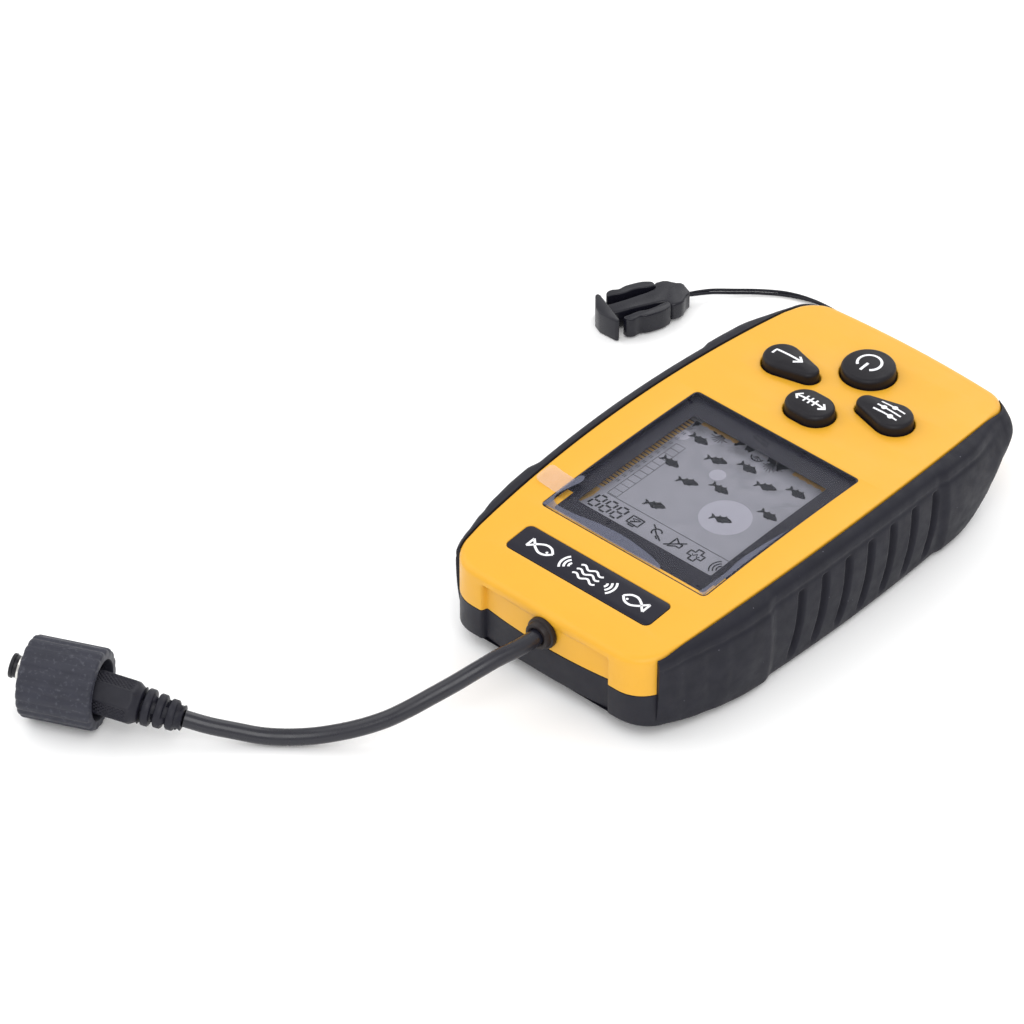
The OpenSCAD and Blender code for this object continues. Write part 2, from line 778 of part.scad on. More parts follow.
module plug_barrel() color([0.8, 0.8, 0.82]) on_plug() difference() {
    rod(barrel_r, plug_tip_l - barrel_l, plug_tip_l - insulator_l);
    rod(1.9, plug_tip_l - barrel_l - 1, plug_tip_l);
}

module plug_insulator() color([0.1, 0.1, 0.11]) on_plug() difference() {
    union() {
        rod(barrel_r, plug_tip_l - insulator_l, plug_tip_l);
        rod(1.85, plug_tip_l - barrel_l, plug_tip_l - 1);
    }
    rod(1.05, plug_tip_l - 8.4, plug_tip_l + 1);
}

module coupling_nut() color([0.2, 0.2, 0.23]) on_nut() difference() {
    rod(nut_r, 0, nut_l);
    rod(nut_hole_r, -1, nut_back_t + 1);
    rod(nut_bore_r, nut_back_t, nut_l + 1);
    for (k = [0 : nut_groove_n - 1]) rotate([0, 0, (k + 0.5) * 360 / nut_groove_n])
        translate([nut_r + 0.55, 0, -1]) cylinder(r = 0.9, h = nut_l + 2, $fn = 16);
}

// ---- Lanyard ----

module lanyard_bar() color([0.7, 0.7, 0.72])
    translate([notch_x0 - 2, bar_y, bar_z]) rotate([0, 90, 0])
        cylinder(r = bar_r, h = notch_x1 - notch_x0 + 4);

module lanyard_cord() color([0.12, 0.12, 0.14])
    tube(lanyard_route, cord_r, lanyard_rings, [0, -1, 0], [cos(clip_turn), sin(clip_turn), 0]);

module on_clip() {
    translate(clip_at) rotate([0, 0, clip_turn]) children();
}

module clip_body() color([0.15, 0.15, 0.17]) on_clip() {
    block(-11.3, -9, -2.6, 2.6, 0.9, 5.1);
    block(-9, -5, -4.6, 4.6, 0.4, 5.6);
    block(-5, 9, -1.7, 1.7, 1.5, 4.5);
    block(8.6, 11.1, -5.6, 5.6, 0, 6);
}

module clip_arm() {
    linear_extrude(height = 5.2) polygon([[-4.9, 3.2], [-4.9, 4.8], [-2, 6.2], [5, 6.3],
        [6.8, 5.4], [7, 4.2], [3, 3.6], [-1, 3.8]]);
}

module clip_arm_left() color([0.15, 0.15, 0.17]) on_clip() translate([0, 0, 0.4]) clip_arm();
module clip_arm_right() color([0.15, 0.15, 0.17]) on_clip() translate([0, 0, 0.4])
    mirror([0, 1, 0]) clip_arm();

front_case();
back_case();
grip_left();
grip_right();
window_lens();
window_mask();
screen_film();
lcd_glass();
lcd_backlight();
lcd_holder();
lcd_connector_strip();
name_plate();
keypad_sheet();
key_power();
key_unit();
key_enter();
key_setup();
pill_power();
pill_unit();
pill_enter();
pill_setup();
main_board();
board_chips();
board_capacitors();
key_contacts();
buzzer();
pulse_transformer();
board_screws();
case_seal();
battery_springs();
battery_plates();
battery_cells();
battery_door();
door_seal();
case_screws();
cable_gland();
lead_tail();
lead_header();
transducer_lead();
plug_body();
plug_barrel();
plug_insulator();
plug_seal_ring();
coupling_nut();
lanyard_bar();
lanyard_cord();
clip_body();
clip_arm_left();
clip_arm_right();
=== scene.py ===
"""Looks of a handheld wired fish finder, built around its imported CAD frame.

Sizes are in millimetres in the handset's own frame: +X is right as the face is read, +Y
points to the lead and +Z comes out of the screen. Meshes are written in metres.
"""
import logging
import math
from collections.abc import Callable, Sequence
from dataclasses import dataclass, field
from enum import Enum

import bpy
from mathutils import Matrix, Vector


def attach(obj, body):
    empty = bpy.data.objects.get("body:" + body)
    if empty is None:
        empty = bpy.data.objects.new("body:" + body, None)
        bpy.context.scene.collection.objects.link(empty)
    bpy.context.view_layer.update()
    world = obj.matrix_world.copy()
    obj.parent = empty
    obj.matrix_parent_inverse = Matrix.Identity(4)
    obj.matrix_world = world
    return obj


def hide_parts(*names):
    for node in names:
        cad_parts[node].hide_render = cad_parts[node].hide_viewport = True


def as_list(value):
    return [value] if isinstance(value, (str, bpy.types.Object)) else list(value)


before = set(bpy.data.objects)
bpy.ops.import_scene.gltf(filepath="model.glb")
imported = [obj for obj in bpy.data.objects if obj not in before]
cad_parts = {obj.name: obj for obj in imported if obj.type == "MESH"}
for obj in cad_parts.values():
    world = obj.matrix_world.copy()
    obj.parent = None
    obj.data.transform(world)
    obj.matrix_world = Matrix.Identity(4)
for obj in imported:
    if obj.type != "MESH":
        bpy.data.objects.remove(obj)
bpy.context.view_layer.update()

MM = 0.001
LOG = logging.getLogger("fish_finder")

Point2 = tuple[float, float]
Point3 = tuple[float, float, float]
Height = Callable[[float, float], float]


def clamp(value: float, low: float = 0.0, high: float = 1.0) -> float:
    """Returns value, held between low and high."""
    return max(low, min(high, value))


def ease(value: float) -> float:
    """Returns a smooth step from 0 to 1 as value goes from 0 to 1."""
    t = clamp(value)
    return t * t * (3 - 2 * t)


def blend_through(stops: Sequence[Point2], at: float) -> float:
    """Reads a smooth curve given by a few (place, value) stops.

    Args:
        stops: Places in rising order, each with its value.
        at: Place to read.

    Returns:
        The value there, with flat ends.
    """
    if at <= stops[0][0]:
        return stops[0][1]
    for (a, low), (b, high) in zip(stops, stops[1:]):
        if at <= b:
            return low + (high - low) * ease((at - a) / (b - a))
    return stops[-1][1]


def arc(centre: Point2, radius: float, start: float, end: float, steps: int = 8) -> list[Point2]:
    """Points along an arc.

    Args:
        centre: Middle of the circle.
        radius: Its radius.
        start: First angle in degrees.
        end: Last angle in degrees.
        steps: Number of chords.

    Returns:
        steps + 1 points.
    """
    turns = [math.radians(start + (end - start) * k / steps) for k in range(steps + 1)]
    return [(centre[0] + radius * math.cos(a), centre[1] + radius * math.sin(a)) for a in turns]


def grown(outline: Sequence[Point2], by: Sequence[float] | float) -> list[Point2]:
    """Moves a closed anticlockwise outline outwards.

    Args:
        outline: The outline's points.
        by: How far, one number for all points or one for each.

    Returns:
        The moved points.
    """
    n = len(outline)
    out = []
    for k, (x, y) in enumerate(outline):
        ax, ay = outline[k - 1]
        bx, by_ = outline[(k + 1) % n]
        before = Vector((y - ay, ax - x)).normalized()
        after = Vector((by_ - y, x - bx)).normalized()
        middle = before + after
        share = 2.0 / max(middle.length_squared, 0.8)
        step = by if isinstance(by, (int, float)) else by[k]
        out.append((x + middle.x * share * step, y + middle.y * share * step))
    return out


def curve_through(stops: Sequence[Sequence[float]], per_span: int) -> list[Vector]:
    """Samples a Catmull-Rom curve.

    Args:
        stops: Points that the curve goes through, in 2D or 3D.
        per_span: Samples between two stops.

    Returns:
        The samples, both ends included.
    """
    p = [Vector(s) for s in stops]
    p = [2 * p[0] - p[1], *p, 2 * p[-1] - p[-2]]
    out = []
    for k in range(1, len(p) - 2):
        a, b, c, d = p[k - 1:k + 3]
        for j in range(per_span):
            u = j / per_span
            out.append(0.5 * (2 * b + (c - a) * u + (2 * a - 5 * b + 4 * c - d) * u * u
                              + (3 * b - a - 3 * c + d) * u ** 3))
    return [*out, p[-2]]


def run_length(points: Sequence[Vector]) -> float:
    """Length of a line through points."""
    return sum((b - a).length for a, b in zip(points, points[1:]))


# ---- Finishes ----


def linear(colour: Sequence[int]) -> tuple[float, float, float, float]:
    """Turns a colour on the 0 to 255 display scale into a shader colour.

    Args:
        colour: Red, green and blue from 0 to 255.

    Returns:
        Red, green, blue and alpha.
    """
    parts = [c / 255 for c in colour]
    flat = [p / 12.92 if p <= 0.04045 else ((p + 0.055) / 1.055) ** 2.4 for p in parts]
    return (flat[0], flat[1], flat[2], 1.0)


class Nodes:
    """A material's node tree, built a node at a time."""

    def __init__(self, name: str) -> None:
        """Starts a material that has a Principled shader and object coordinates.

        Args:
            name: The material's name.
        """
        self.material = bpy.data.materials.new(name)
        self.material.use_nodes = True
        self.tree = self.material.node_tree
        self.shader = self.tree.nodes["Principled BSDF"]
        self.place = self.add("ShaderNodeTexCoord").outputs["Object"]

    def add(self, kind: str, **inputs: object) -> bpy.types.Node:
        """Adds a node.

        Args:
            kind: The node's type.
            inputs: Values or sockets for its inputs, by name with _ for spaces.

        Returns:
            The node.
        """
        node = self.tree.nodes.new(kind)
        for key, value in inputs.items():
            socket = node.inputs[key.replace("_", " ")]
            if isinstance(value, bpy.types.NodeSocket):
                self.tree.links.new(value, socket)
            else:
                socket.default_value = value
        return node

    def noise(self, size: float, detail: float = 2.0, stretch: Point3 = (1, 1, 1)) -> bpy.types.NodeSocket:
        """A noise pattern.

        Args:
            size: Size of its blotches in millimetres.
            detail: Octaves of finer detail.
            stretch: Scale along X, Y and Z.

        Returns:
            Its value socket, about 0.5 on average.
        """
        mapped = self.add("ShaderNodeMapping", Vector=self.place, Scale=stretch).outputs["Vector"]
        node = self.add("ShaderNodeTexNoise", Vector=mapped, Scale=1 / (size * MM), Detail=detail)
        return node.outputs["Fac"]

    def ramp(self, value: bpy.types.NodeSocket, low: float, high: float, out_low: float,
             out_high: float) -> bpy.types.NodeSocket:
        """Maps value from low..high to out_low..out_high and returns the socket.

        Args:
            value: The socket to map.
            low: Where it starts.
            high: Where it ends.
            out_low: Result at low.
            out_high: Result at high.

        Returns:
            The socket with the result.
        """
        node = self.tree.nodes.new("ShaderNodeMapRange")
        self.tree.links.new(value, node.inputs[0])
        for k, number in enumerate((low, high, out_low, out_high), start=1):
            node.inputs[k].default_value = number
        return node.outputs[0]

    def mix(self, share: bpy.types.NodeSocket, a: object, b: object) -> bpy.types.NodeSocket:
        """Mixes two colours by share and returns the colour socket.

        Args:
            share: How much of the second colour is in the mix.
            a: First colour or its socket.
            b: Second colour or its socket.

        Returns:
            The socket with the mixed colour.
        """
        node = self.tree.nodes.new("ShaderNodeMix")
        node.data_type = "RGBA"
        for socket, value in ((node.inputs[0], share), (node.inputs[6], a), (node.inputs[7], b)):
            if isinstance(value, bpy.types.NodeSocket):
                self.tree.links.new(value, socket)
            else:
                socket.default_value = value
        return node.outputs[2]

    def feed(self, value: bpy.types.NodeSocket, socket: str) -> None:
        """Links a socket to one of the shader's inputs."""
        self.tree.links.new(value, self.shader.inputs[socket])


@dataclass(frozen=True)
class Finish:
    """A solid finish whose colour, gloss and grain vary a little over the surface."""

    name: str
    colour: tuple[int, int, int]
    roughness: float = 0.45
    mottle: float = 0.05
    mottle_size: float = 7.0
    grain: float = 0.012
    grain_size: float = 0.35
    polish: float = 0.08
    metallic: float = 0.0
    specular: float = 0.5
    coat: float = 0.0
    alpha: float = 1.0
    stretch: Point3 = (1, 1, 1)

    def build(self) -> bpy.types.Material:
        """Makes the material, or returns it if it is already made.

        Returns:
            The material.
        """
        known = bpy.data.materials.get(f"finish_{self.name}")
        if known:
            return known
        nodes = Nodes(f"finish_{self.name}")
        shader = nodes.shader
        shader.inputs["Metallic"].default_value = self.metallic
        shader.inputs["Specular IOR Level"].default_value = self.specular
        shader.inputs["Coat Weight"].default_value = self.coat
        shader.inputs["Coat Roughness"].default_value = 0.15
        shader.inputs["Alpha"].default_value = self.alpha
        nodes.feed(self.paint(nodes), "Base Color")
        wear = nodes.noise(self.mottle_size * 0.6, 4.0, self.stretch)
        gloss = nodes.ramp(wear, 0.3, 0.7, self.roughness - self.polish, self.roughness + self.polish)
        nodes.feed(gloss, "Roughness")
        bump = nodes.add("ShaderNodeBump", Height=self.relief(nodes), Distance=self.grain * MM)
        nodes.feed(bump.outputs["Normal"], "Normal")
        return nodes.material

    def tone(self, share: float) -> tuple[float, float, float, float]:
        """The finish's colour, made lighter or darker by a share."""
        c = linear(self.colour)
        return (c[0] * (1 + share), c[1] * (1 + share), c[2] * (1 + share), 1.0)

    def paint(self, nodes: Nodes) -> bpy.types.NodeSocket:
        """Colour over the surface."""
        cloud = nodes.ramp(nodes.noise(self.mottle_size, 3.0, self.stretch), 0.3, 0.7, 0.0, 1.0)
        return nodes.mix(cloud, self.tone(-self.mottle), self.tone(self.mottle))

    def relief(self, nodes: Nodes) -> bpy.types.NodeSocket:
        """Height of the grain over the surface."""
        return nodes.noise(self.grain_size, 2.0, self.stretch)


@dataclass(frozen=True)
class DustyFinish(Finish):
    """A dark soft finish that has caught specks of pale dust."""

    dust: float = 0.04
    dust_size: float = 2.2
    dust_colour: tuple[int, int, int] = (120, 120, 132)

    def paint(self, nodes: Nodes) -> bpy.types.NodeSocket:
        """Base colour with small specks in some of the cells of a random pattern.

        Args:
            nodes: The material's node tree.

        Returns:
            The colour socket.
        """
        base = super().paint(nodes)
        cells = nodes.add("ShaderNodeTexVoronoi", Vector=nodes.place, Scale=1 / (self.dust_size * MM))
        near = nodes.ramp(cells.outputs["Distance"], self.dust, self.dust * 1.6, 1.0, 0.0)
        pick = nodes.add("ShaderNodeSeparateColor", Color=cells.outputs["Color"]).outputs["Red"]
        some = nodes.ramp(pick, 0.55, 0.75, 0.0, 0.8)
        share = nodes.add("ShaderNodeMath")
        share.operation = "MULTIPLY"
        nodes.tree.links.new(near, share.inputs[0])
        nodes.tree.links.new(some, share.inputs[1])
        return nodes.mix(share.outputs[0], base, linear(self.dust_colour))


@dataclass(frozen=True)
class ScuffedFinish(Finish):
    """A dark moulding whose raised ribs are rubbed pale along one direction."""

    scuff: float = 0.35
    scuff_colour: tuple[int, int, int] = (96, 97, 106)

    def paint(self, nodes: Nodes) -> bpy.types.NodeSocket:
        """Base colour with streaks of a rubbed, paler tone.

        Args:
            nodes: The material's node tree.

        Returns:
            The colour socket.
        """
        base = super().paint(nodes)
        streaks = nodes.ramp(nodes.noise(0.8, 5.0, self.stretch), 0.56, 0.72, 0.0, self.scuff)
        return nodes.mix(streaks, base, linear(self.scuff_colour))


@dataclass(frozen=True)
class ScreenFinish(Finish):
    """A grey reflective display, cloudier and darker towards its lake bed."""

    bed_y: float = -11.0
    clear_y: float = 6.0

    def paint(self, nodes: Nodes) -> bpy.types.NodeSocket:
        """Grey with soft clouds that thicken towards the bed.

        Args:
            nodes: The material's node tree.

        Returns:
            The colour socket.
        """
        along = nodes.add("ShaderNodeSeparateXYZ", Vector=nodes.place).outputs["Y"]
        depth = nodes.ramp(along, self.bed_y * MM, self.clear_y * MM, 1.0, 0.15)
        cloud = nodes.ramp(nodes.noise(4.5, 4.0), 0.42, 0.68, 0.0, 1.0)
        share = nodes.add("ShaderNodeMath")
        share.operation = "MULTIPLY"
        nodes.tree.links.new(depth, share.inputs[0])
        nodes.tree.links.new(cloud, share.inputs[1])
        return nodes.mix(share.outputs[0], super().paint(nodes), self.tone(-0.45))


@dataclass(frozen=True)
class BraidFinish(Finish):
    """Fine braided cord: slanting yarns across a thin tube."""

    yarn: float = 0.35

    def relief(self, nodes: Nodes) -> bpy.types.NodeSocket:
        """Waves for the yarns.

        Args:
            nodes: The material's node tree.

        Returns:
            The height socket.
        """
        waves = nodes.add("ShaderNodeTexWave", Vector=nodes.place, Scale=1 / (self.yarn * MM * 6),
                          Distortion=1.0)
        return waves.outputs["Fac"]


YELLOW = Finish("case_yellow", (224, 166, 46), 0.38, 0.012, 9.0, 0.006, 0.5, 0.05, specular=0.35)
CASE_BLACK = DustyFinish("case_black", (27, 27, 36), 0.5, 0.08, 6.0, 0.02, 0.3, 0.06, specular=0.25,
                          dust=0.02)
RUBBER = DustyFinish("grip_rubber", (23, 23, 33), 0.55, 0.1, 5.0, 0.02, 0.35, 0.08, specular=0.25,
                      dust=0.035)
KEY_RUBBER = DustyFinish("key_rubber", (22, 20, 26), 0.45, 0.08, 4.0, 0.012, 0.25, 0.07, specular=0.25,
                         dust=0.02)
# Black print round the window: its own near-black lightened to dark grey by a painted reflection of the
# bright room in the glass above it.
MASK_WITH_PAINTED_REFLECTION = Finish("mask_black", (36, 35, 46), 0.3, 0.03, 8.0, 0.002, 0.4, 0.04, specular=0.2)
PLATE = Finish("plate_black", (28, 27, 38), 0.35, 0.04, 6.0, 0.004, 0.4, 0.05, specular=0.2)
CLEAR = Finish("window_clear", (200, 205, 220), 0.08, 0.02, 10.0, 0.001, 3.0, 0.02, alpha=0.006)
FILM = Finish("film_clear", (200, 205, 220), 0.14, 0.03, 5.0, 0.01, 4.0, 0.05, alpha=0.006)
FILM_LIFT = Finish("film_lifted", (150, 153, 176), 0.16, 0.06, 3.0, 0.02, 3.0, 0.05, alpha=0.2)
FILM_TAB = Finish("film_tab", (222, 205, 208), 0.2, 0.05, 2.5, 0.02, 3.0, 0.05, alpha=0.17)
SCREEN = ScreenFinish("screen_grey", (141, 141, 151), 0.22, 0.04, 5.0, 0.001, 2.0, 0.03, specular=0.2)
MARK_DARK = Finish("mark_dark", (30, 31, 38), 0.4, 0.06, 2.0, 0.002, 0.4, 0.05, specular=0.2)
MARK_GREY = Finish("mark_grey", (76, 77, 86), 0.4, 0.12, 1.6, 0.002, 0.4, 0.05, specular=0.2)
MARK_PALE = Finish("mark_pale", (160, 159, 172), 0.35, 0.03, 2.0, 0.002, 0.4, 0.05, specular=0.2)
MARK_TAN = Finish("mark_tan", (164, 132, 80), 0.45, 0.1, 1.2, 0.002, 0.4, 0.05, specular=0.2)
LEGEND = Finish("legend_white", (236, 236, 240), 0.5, 0.02, 2.0, 0.004, 0.3, 0.05)
LEAD = Finish("lead_black", (27, 27, 36), 0.3, 0.1, 8.0, 0.008, 0.6, 0.08, specular=0.5)
GLAND = Finish("gland_black", (30, 22, 22), 0.42, 0.1, 3.0, 0.01, 0.4, 0.08, specular=0.3)
PLUG = DustyFinish("plug_black", (25, 25, 35), 0.5, 0.08, 3.0, 0.012, 0.3, 0.06, specular=0.3, dust=0.015)
NUT = ScuffedFinish("nut_nylon", (45, 46, 56), 0.5, 0.1, 4.0, 0.02, 0.4, 0.08, specular=0.3)
NICKEL = Finish("barrel_nickel", (214, 212, 208), 0.2, 0.03, 3.0, 0.002, 0.3, 0.06, metallic=1.0)
INSULATOR = Finish("insulator_black", (26, 26, 32), 0.35, 0.05, 2.0, 0.003, 0.3, 0.05, specular=0.3)
RING_RED = Finish("ring_red", (150, 70, 52), 0.5, 0.08, 2.0, 0.006, 0.3, 0.05)
CLIP = Finish("clip_black", (22, 22, 31), 0.3, 0.06, 4.0, 0.006, 0.5, 0.06, specular=0.35)
CORD = BraidFinish("cord_black", (24, 24, 32), 0.6, 0.1, 1.5, 0.06, 0.3, 0.08, specular=0.25)
STEEL = Finish("screw_steel", (190, 190, 194), 0.28, 0.05, 1.5, 0.004, 0.2, 0.08, metallic=1.0)
SPRING = Finish("spring_steel", (200, 198, 190), 0.3, 0.05, 1.5, 0.004, 0.2, 0.08, metallic=1.0)
INNER = {
    "lcd_backlight": Finish("light_white", (236, 236, 230), 0.4),
    "lcd_holder": Finish("holder_white", (70, 70, 80), 0.5),
    "lcd_connector_strip": Finish("strip_pink", (208, 120, 132), 0.6),
    "keypad_sheet": KEY_RUBBER,
    "main_board": Finish("board_green", (28, 92, 54), 0.3, 0.12, 3.0, 0.01, 1.2, coat=0.4),
    "board_chips": Finish("chip_black", (32, 32, 34), 0.5, 0.06, 1.0, 0.01, 0.15),
    "board_capacitors": Finish("can_blue", (44, 52, 118), 0.3, 0.06, 2.0),
    "key_contacts": Finish("contact_gold", (222, 178, 90), 0.25, 0.05, 1.0, metallic=1.0),
    "buzzer": Finish("buzzer_black", (28, 28, 30), 0.45),
    "pulse_transformer": Finish("winding_copper", (184, 118, 66), 0.35, 0.1, 0.6, 0.05, 0.3,
                                metallic=0.7, stretch=(1, 0.1, 1)),
    "board_screws": STEEL,
    "case_seal": Finish("seal_grey", (88, 88, 94), 0.6),
    "door_seal": Finish("seal_grey", (88, 88, 94), 0.6),
    "battery_springs": SPRING,
    "battery_plates": SPRING,
    "battery_cells": Finish("cell_green", (58, 118, 78), 0.32, 0.08, 6.0, coat=0.5),
    "lead_tail": Finish("wire_black", (34, 34, 36), 0.45),
    "lead_header": Finish("header_ivory", (226, 220, 200), 0.4),
    "lanyard_bar": STEEL,
    "pill_power": Finish("carbon", (22, 22, 22), 0.7),
    "pill_unit": Finish("carbon", (22, 22, 22), 0.7),
    "pill_enter": Finish("carbon", (22, 22, 22), 0.7),
    "pill_setup": Finish("carbon", (22, 22, 22), 0.7),
    "lcd_glass": SCREEN,
}


# ---- Bench: the moves that shape every piece ----


class Bench:
    """Modelling moves shared by all sub-assemblies."""

    @staticmethod
    def pick(piece: bpy.types.Object) -> None:
        """Makes piece the one that is selected and active.

        Args:
            piece: The piece.
        """
        bpy.ops.object.select_all(action="DESELECT")
        piece.select_set(True)
        bpy.context.view_layer.objects.active = piece

    @staticmethod
    def edit(piece: bpy.types.Object) -> None:
        """Opens piece in edit mode with all of it selected.

        Args:
            piece: The piece.
        """
        Bench.pick(piece)
        bpy.ops.object.mode_set(mode="EDIT")
        bpy.ops.mesh.select_all(action="SELECT")

    @staticmethod
    def true_up(piece: bpy.types.Object) -> None:
        """Merges doubles and turns all normals outwards.

        Args:
            piece: The piece.
        """
        Bench.edit(piece)
        bpy.ops.mesh.remove_doubles(threshold=0.002 * MM)
        bpy.ops.mesh.normals_make_consistent(inside=False)
        bpy.ops.object.mode_set(mode="OBJECT")

    @staticmethod
    def skin(name: str, rings: Sequence[Sequence[Point3]], capped: bool = True) -> bpy.types.Object:
        """Lays a skin over rings of points.

        Args:
            name: Name of the piece.
            rings: Closed rings, all with the same number of points.
            capped: Whether the first and last rings are closed with a face.

        Returns:
            The piece.
        """
        n = len(rings[0])
        points = [tuple(c * MM for c in p) for ring in rings for p in ring]
        faces: list[list[int]] = []
        for j in range(len(rings) - 1):
            for k in range(n):
                q = (k + 1) % n
                faces.append([j * n + k, j * n + q, (j + 1) * n + q, (j + 1) * n + k])
        if capped:
            faces.append(list(range(n - 1, -1, -1)))
            faces.append(list(range((len(rings) - 1) * n, len(rings) * n)))
        mesh = bpy.data.meshes.new(name)
        mesh.from_pydata(points, [], faces)
        piece = bpy.data.objects.new(name, mesh)
        bpy.context.scene.collection.objects.link(piece)
        Bench.true_up(piece)
        return piece

    @staticmethod
    def prism(name: str, outline: Sequence[Point2], low: float, high: float) -> bpy.types.Object:
        """Extrudes an outline upwards.

        Args:
            name: Name of the piece.
            outline: Closed outline seen from above.
            low: Height of its lower face.
            high: Height of its upper face.

        Returns:
            The piece.
        """
        bpy.ops.object.select_all(action="DESELECT")
        bpy.ops.mesh.primitive_circle_add(vertices=len(outline), radius=MM, fill_type="NGON")
        piece = bpy.context.object
        piece.name = name
        for vertex, (x, y) in zip(piece.data.vertices, outline):
            vertex.co = (x * MM, y * MM, low * MM)
        Bench.edit(piece)
        bpy.ops.mesh.extrude_region_move(TRANSFORM_OT_translate={"value": (0, 0, (high - low) * MM)})
        bpy.ops.mesh.select_all(action="SELECT")
        bpy.ops.mesh.normals_make_consistent(inside=False)
        bpy.ops.object.mode_set(mode="OBJECT")
        return piece

    @staticmethod
    def block(name: str, low: Point3, high: Point3, edge: float = 0.0) -> bpy.types.Object:
        """A box between two corners, with its edges rounded by edge.

        Args:
            name: Name of the piece.
            low: Its lowest corner.
            high: Its highest corner.
            edge: Width of the rounding, or 0.

        Returns:
            The piece.
        """
        size = [(b - a) * MM for a, b in zip(low, high)]
        centre = [(b + a) / 2 * MM for a, b in zip(low, high)]
        bpy.ops.object.select_all(action="DESELECT")
        bpy.ops.mesh.primitive_cube_add(size=1, location=centre, scale=size)
        piece = bpy.context.object
        piece.name = name
        bpy.ops.object.transform_apply(location=True, rotation=True, scale=True)
        if edge:
            Bench.bevel(piece, edge)
        return piece

    @staticmethod
    def rod(name: str, radius: float, start: Point3, end: Point3, sides: int = 48) -> bpy.types.Object:
        """A cylinder between two points.

        Args:
            name: Name of the piece.
            radius: Its radius.
            start: Middle of one end.
            end: Middle of the other end.
            sides: Number of sides.

        Returns:
            The piece.
        """
        a, b = Vector(start), Vector(end)
        bpy.ops.object.select_all(action="DESELECT")
        bpy.ops.mesh.primitive_cylinder_add(vertices=sides, radius=radius * MM,
                                            depth=(b - a).length * MM)
        piece = bpy.context.object
        piece.name = name
        turn = (b - a).to_track_quat("Z", "Y").to_matrix().to_4x4()
        piece.data.transform(Matrix.Translation((a + b) / 2 * MM) @ turn)
        return piece

    @staticmethod
    def combine(piece: bpy.types.Object, tools: Sequence[bpy.types.Object],
                operation: str = "DIFFERENCE") -> None:
        """Cuts tools out of piece, or welds them to it, and throws the tools away.

        Args:
            piece: The piece that is changed.
            tools: Pieces to cut with or to weld on.
            operation: DIFFERENCE or UNION.
        """
        for tool in tools:
            Bench.pick(piece)
            change = piece.modifiers.new("combine", "BOOLEAN")
            change.operation = operation
            change.solver = "EXACT"
            change.object = tool
            bpy.ops.object.modifier_apply(modifier=change.name)
            bpy.data.objects.remove(tool)

    @staticmethod
    def bevel(piece: bpy.types.Object, width: float, segments: int = 3, angle: float = 40) -> None:
        """Rounds every edge sharper than angle degrees.

        Args:
            piece: The piece.
            width: Width of the rounding.
            segments: Its number of steps.
            angle: Smallest angle that is rounded, in degrees.
        """
        Bench.pick(piece)
        change = piece.modifiers.new("bevel", "BEVEL")
        change.width = width * MM
        change.segments = segments
        change.limit_method = "ANGLE"
        change.angle_limit = math.radians(angle)
        bpy.ops.object.modifier_apply(modifier=change.name)

    @staticmethod
    def slice_along_y(piece: bpy.types.Object, low: float, high: float, step: float) -> None:
        """Cuts piece into strips, so that it can follow a lengthwise curve.

        Args:
            piece: The piece.
            low: Place of the first cut.
            high: Place of the last cut.
            step: Distance between cuts.
        """
        Bench.edit(piece)
        count = round((high - low) / step)
        for k in range(count + 1):
            bpy.ops.mesh.select_all(action="SELECT")
            bpy.ops.mesh.bisect(plane_co=(0, (low + step * k) * MM, 0), plane_no=(0, 1, 0))
        bpy.ops.object.mode_set(mode="OBJECT")

    @staticmethod
    def reshape(piece: bpy.types.Object, rule: Callable[[float, float, float], Point3]) -> None:
        """Moves each vertex by a rule that takes and gives millimetres.

        Args:
            piece: The piece.
            rule: Gives the new place from the old x, y and z.
        """
        for vertex in piece.data.vertices:
            x, y, z = (c / MM for c in vertex.co)
            vertex.co = [c * MM for c in rule(x, y, z)]

    @staticmethod
    def place(piece: bpy.types.Object, matrix: Matrix) -> None:
        """Moves a piece's mesh by a matrix that is in millimetres.

        Args:
            piece: The piece.
            matrix: Where to put it.
        """
        scaled = matrix.copy()
        scaled.translation *= MM
        piece.data.transform(scaled)

    @staticmethod
    def dress(piece: bpy.types.Object, finish: Finish, slot: str, body: str = "handset",
              stands_for: Sequence[str] = (), angle: float = 32) -> bpy.types.Object:
        """Gives a finished piece its material, shading and body.

        Args:
            piece: The piece.
            finish: Its finish.
            slot: The record's material slot; not used.
            body: The CAD body that it rides on.
            stands_for: CAD nodes that it replaces.
            angle: Edges sharper than this many degrees stay sharp.

        Returns:
            The piece.
        """
        piece.data.materials.clear()
        piece.data.materials.append(finish.build())
        if piece.type == "MESH":
            Bench.pick(piece)
            bpy.ops.object.shade_smooth_by_angle(angle=math.radians(angle))
        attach(piece, body)
        if stands_for:
            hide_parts(*stands_for)
        LOG.info("%s on %s in %s", piece.name, body, finish.name)
        return piece


# ---- Case ----


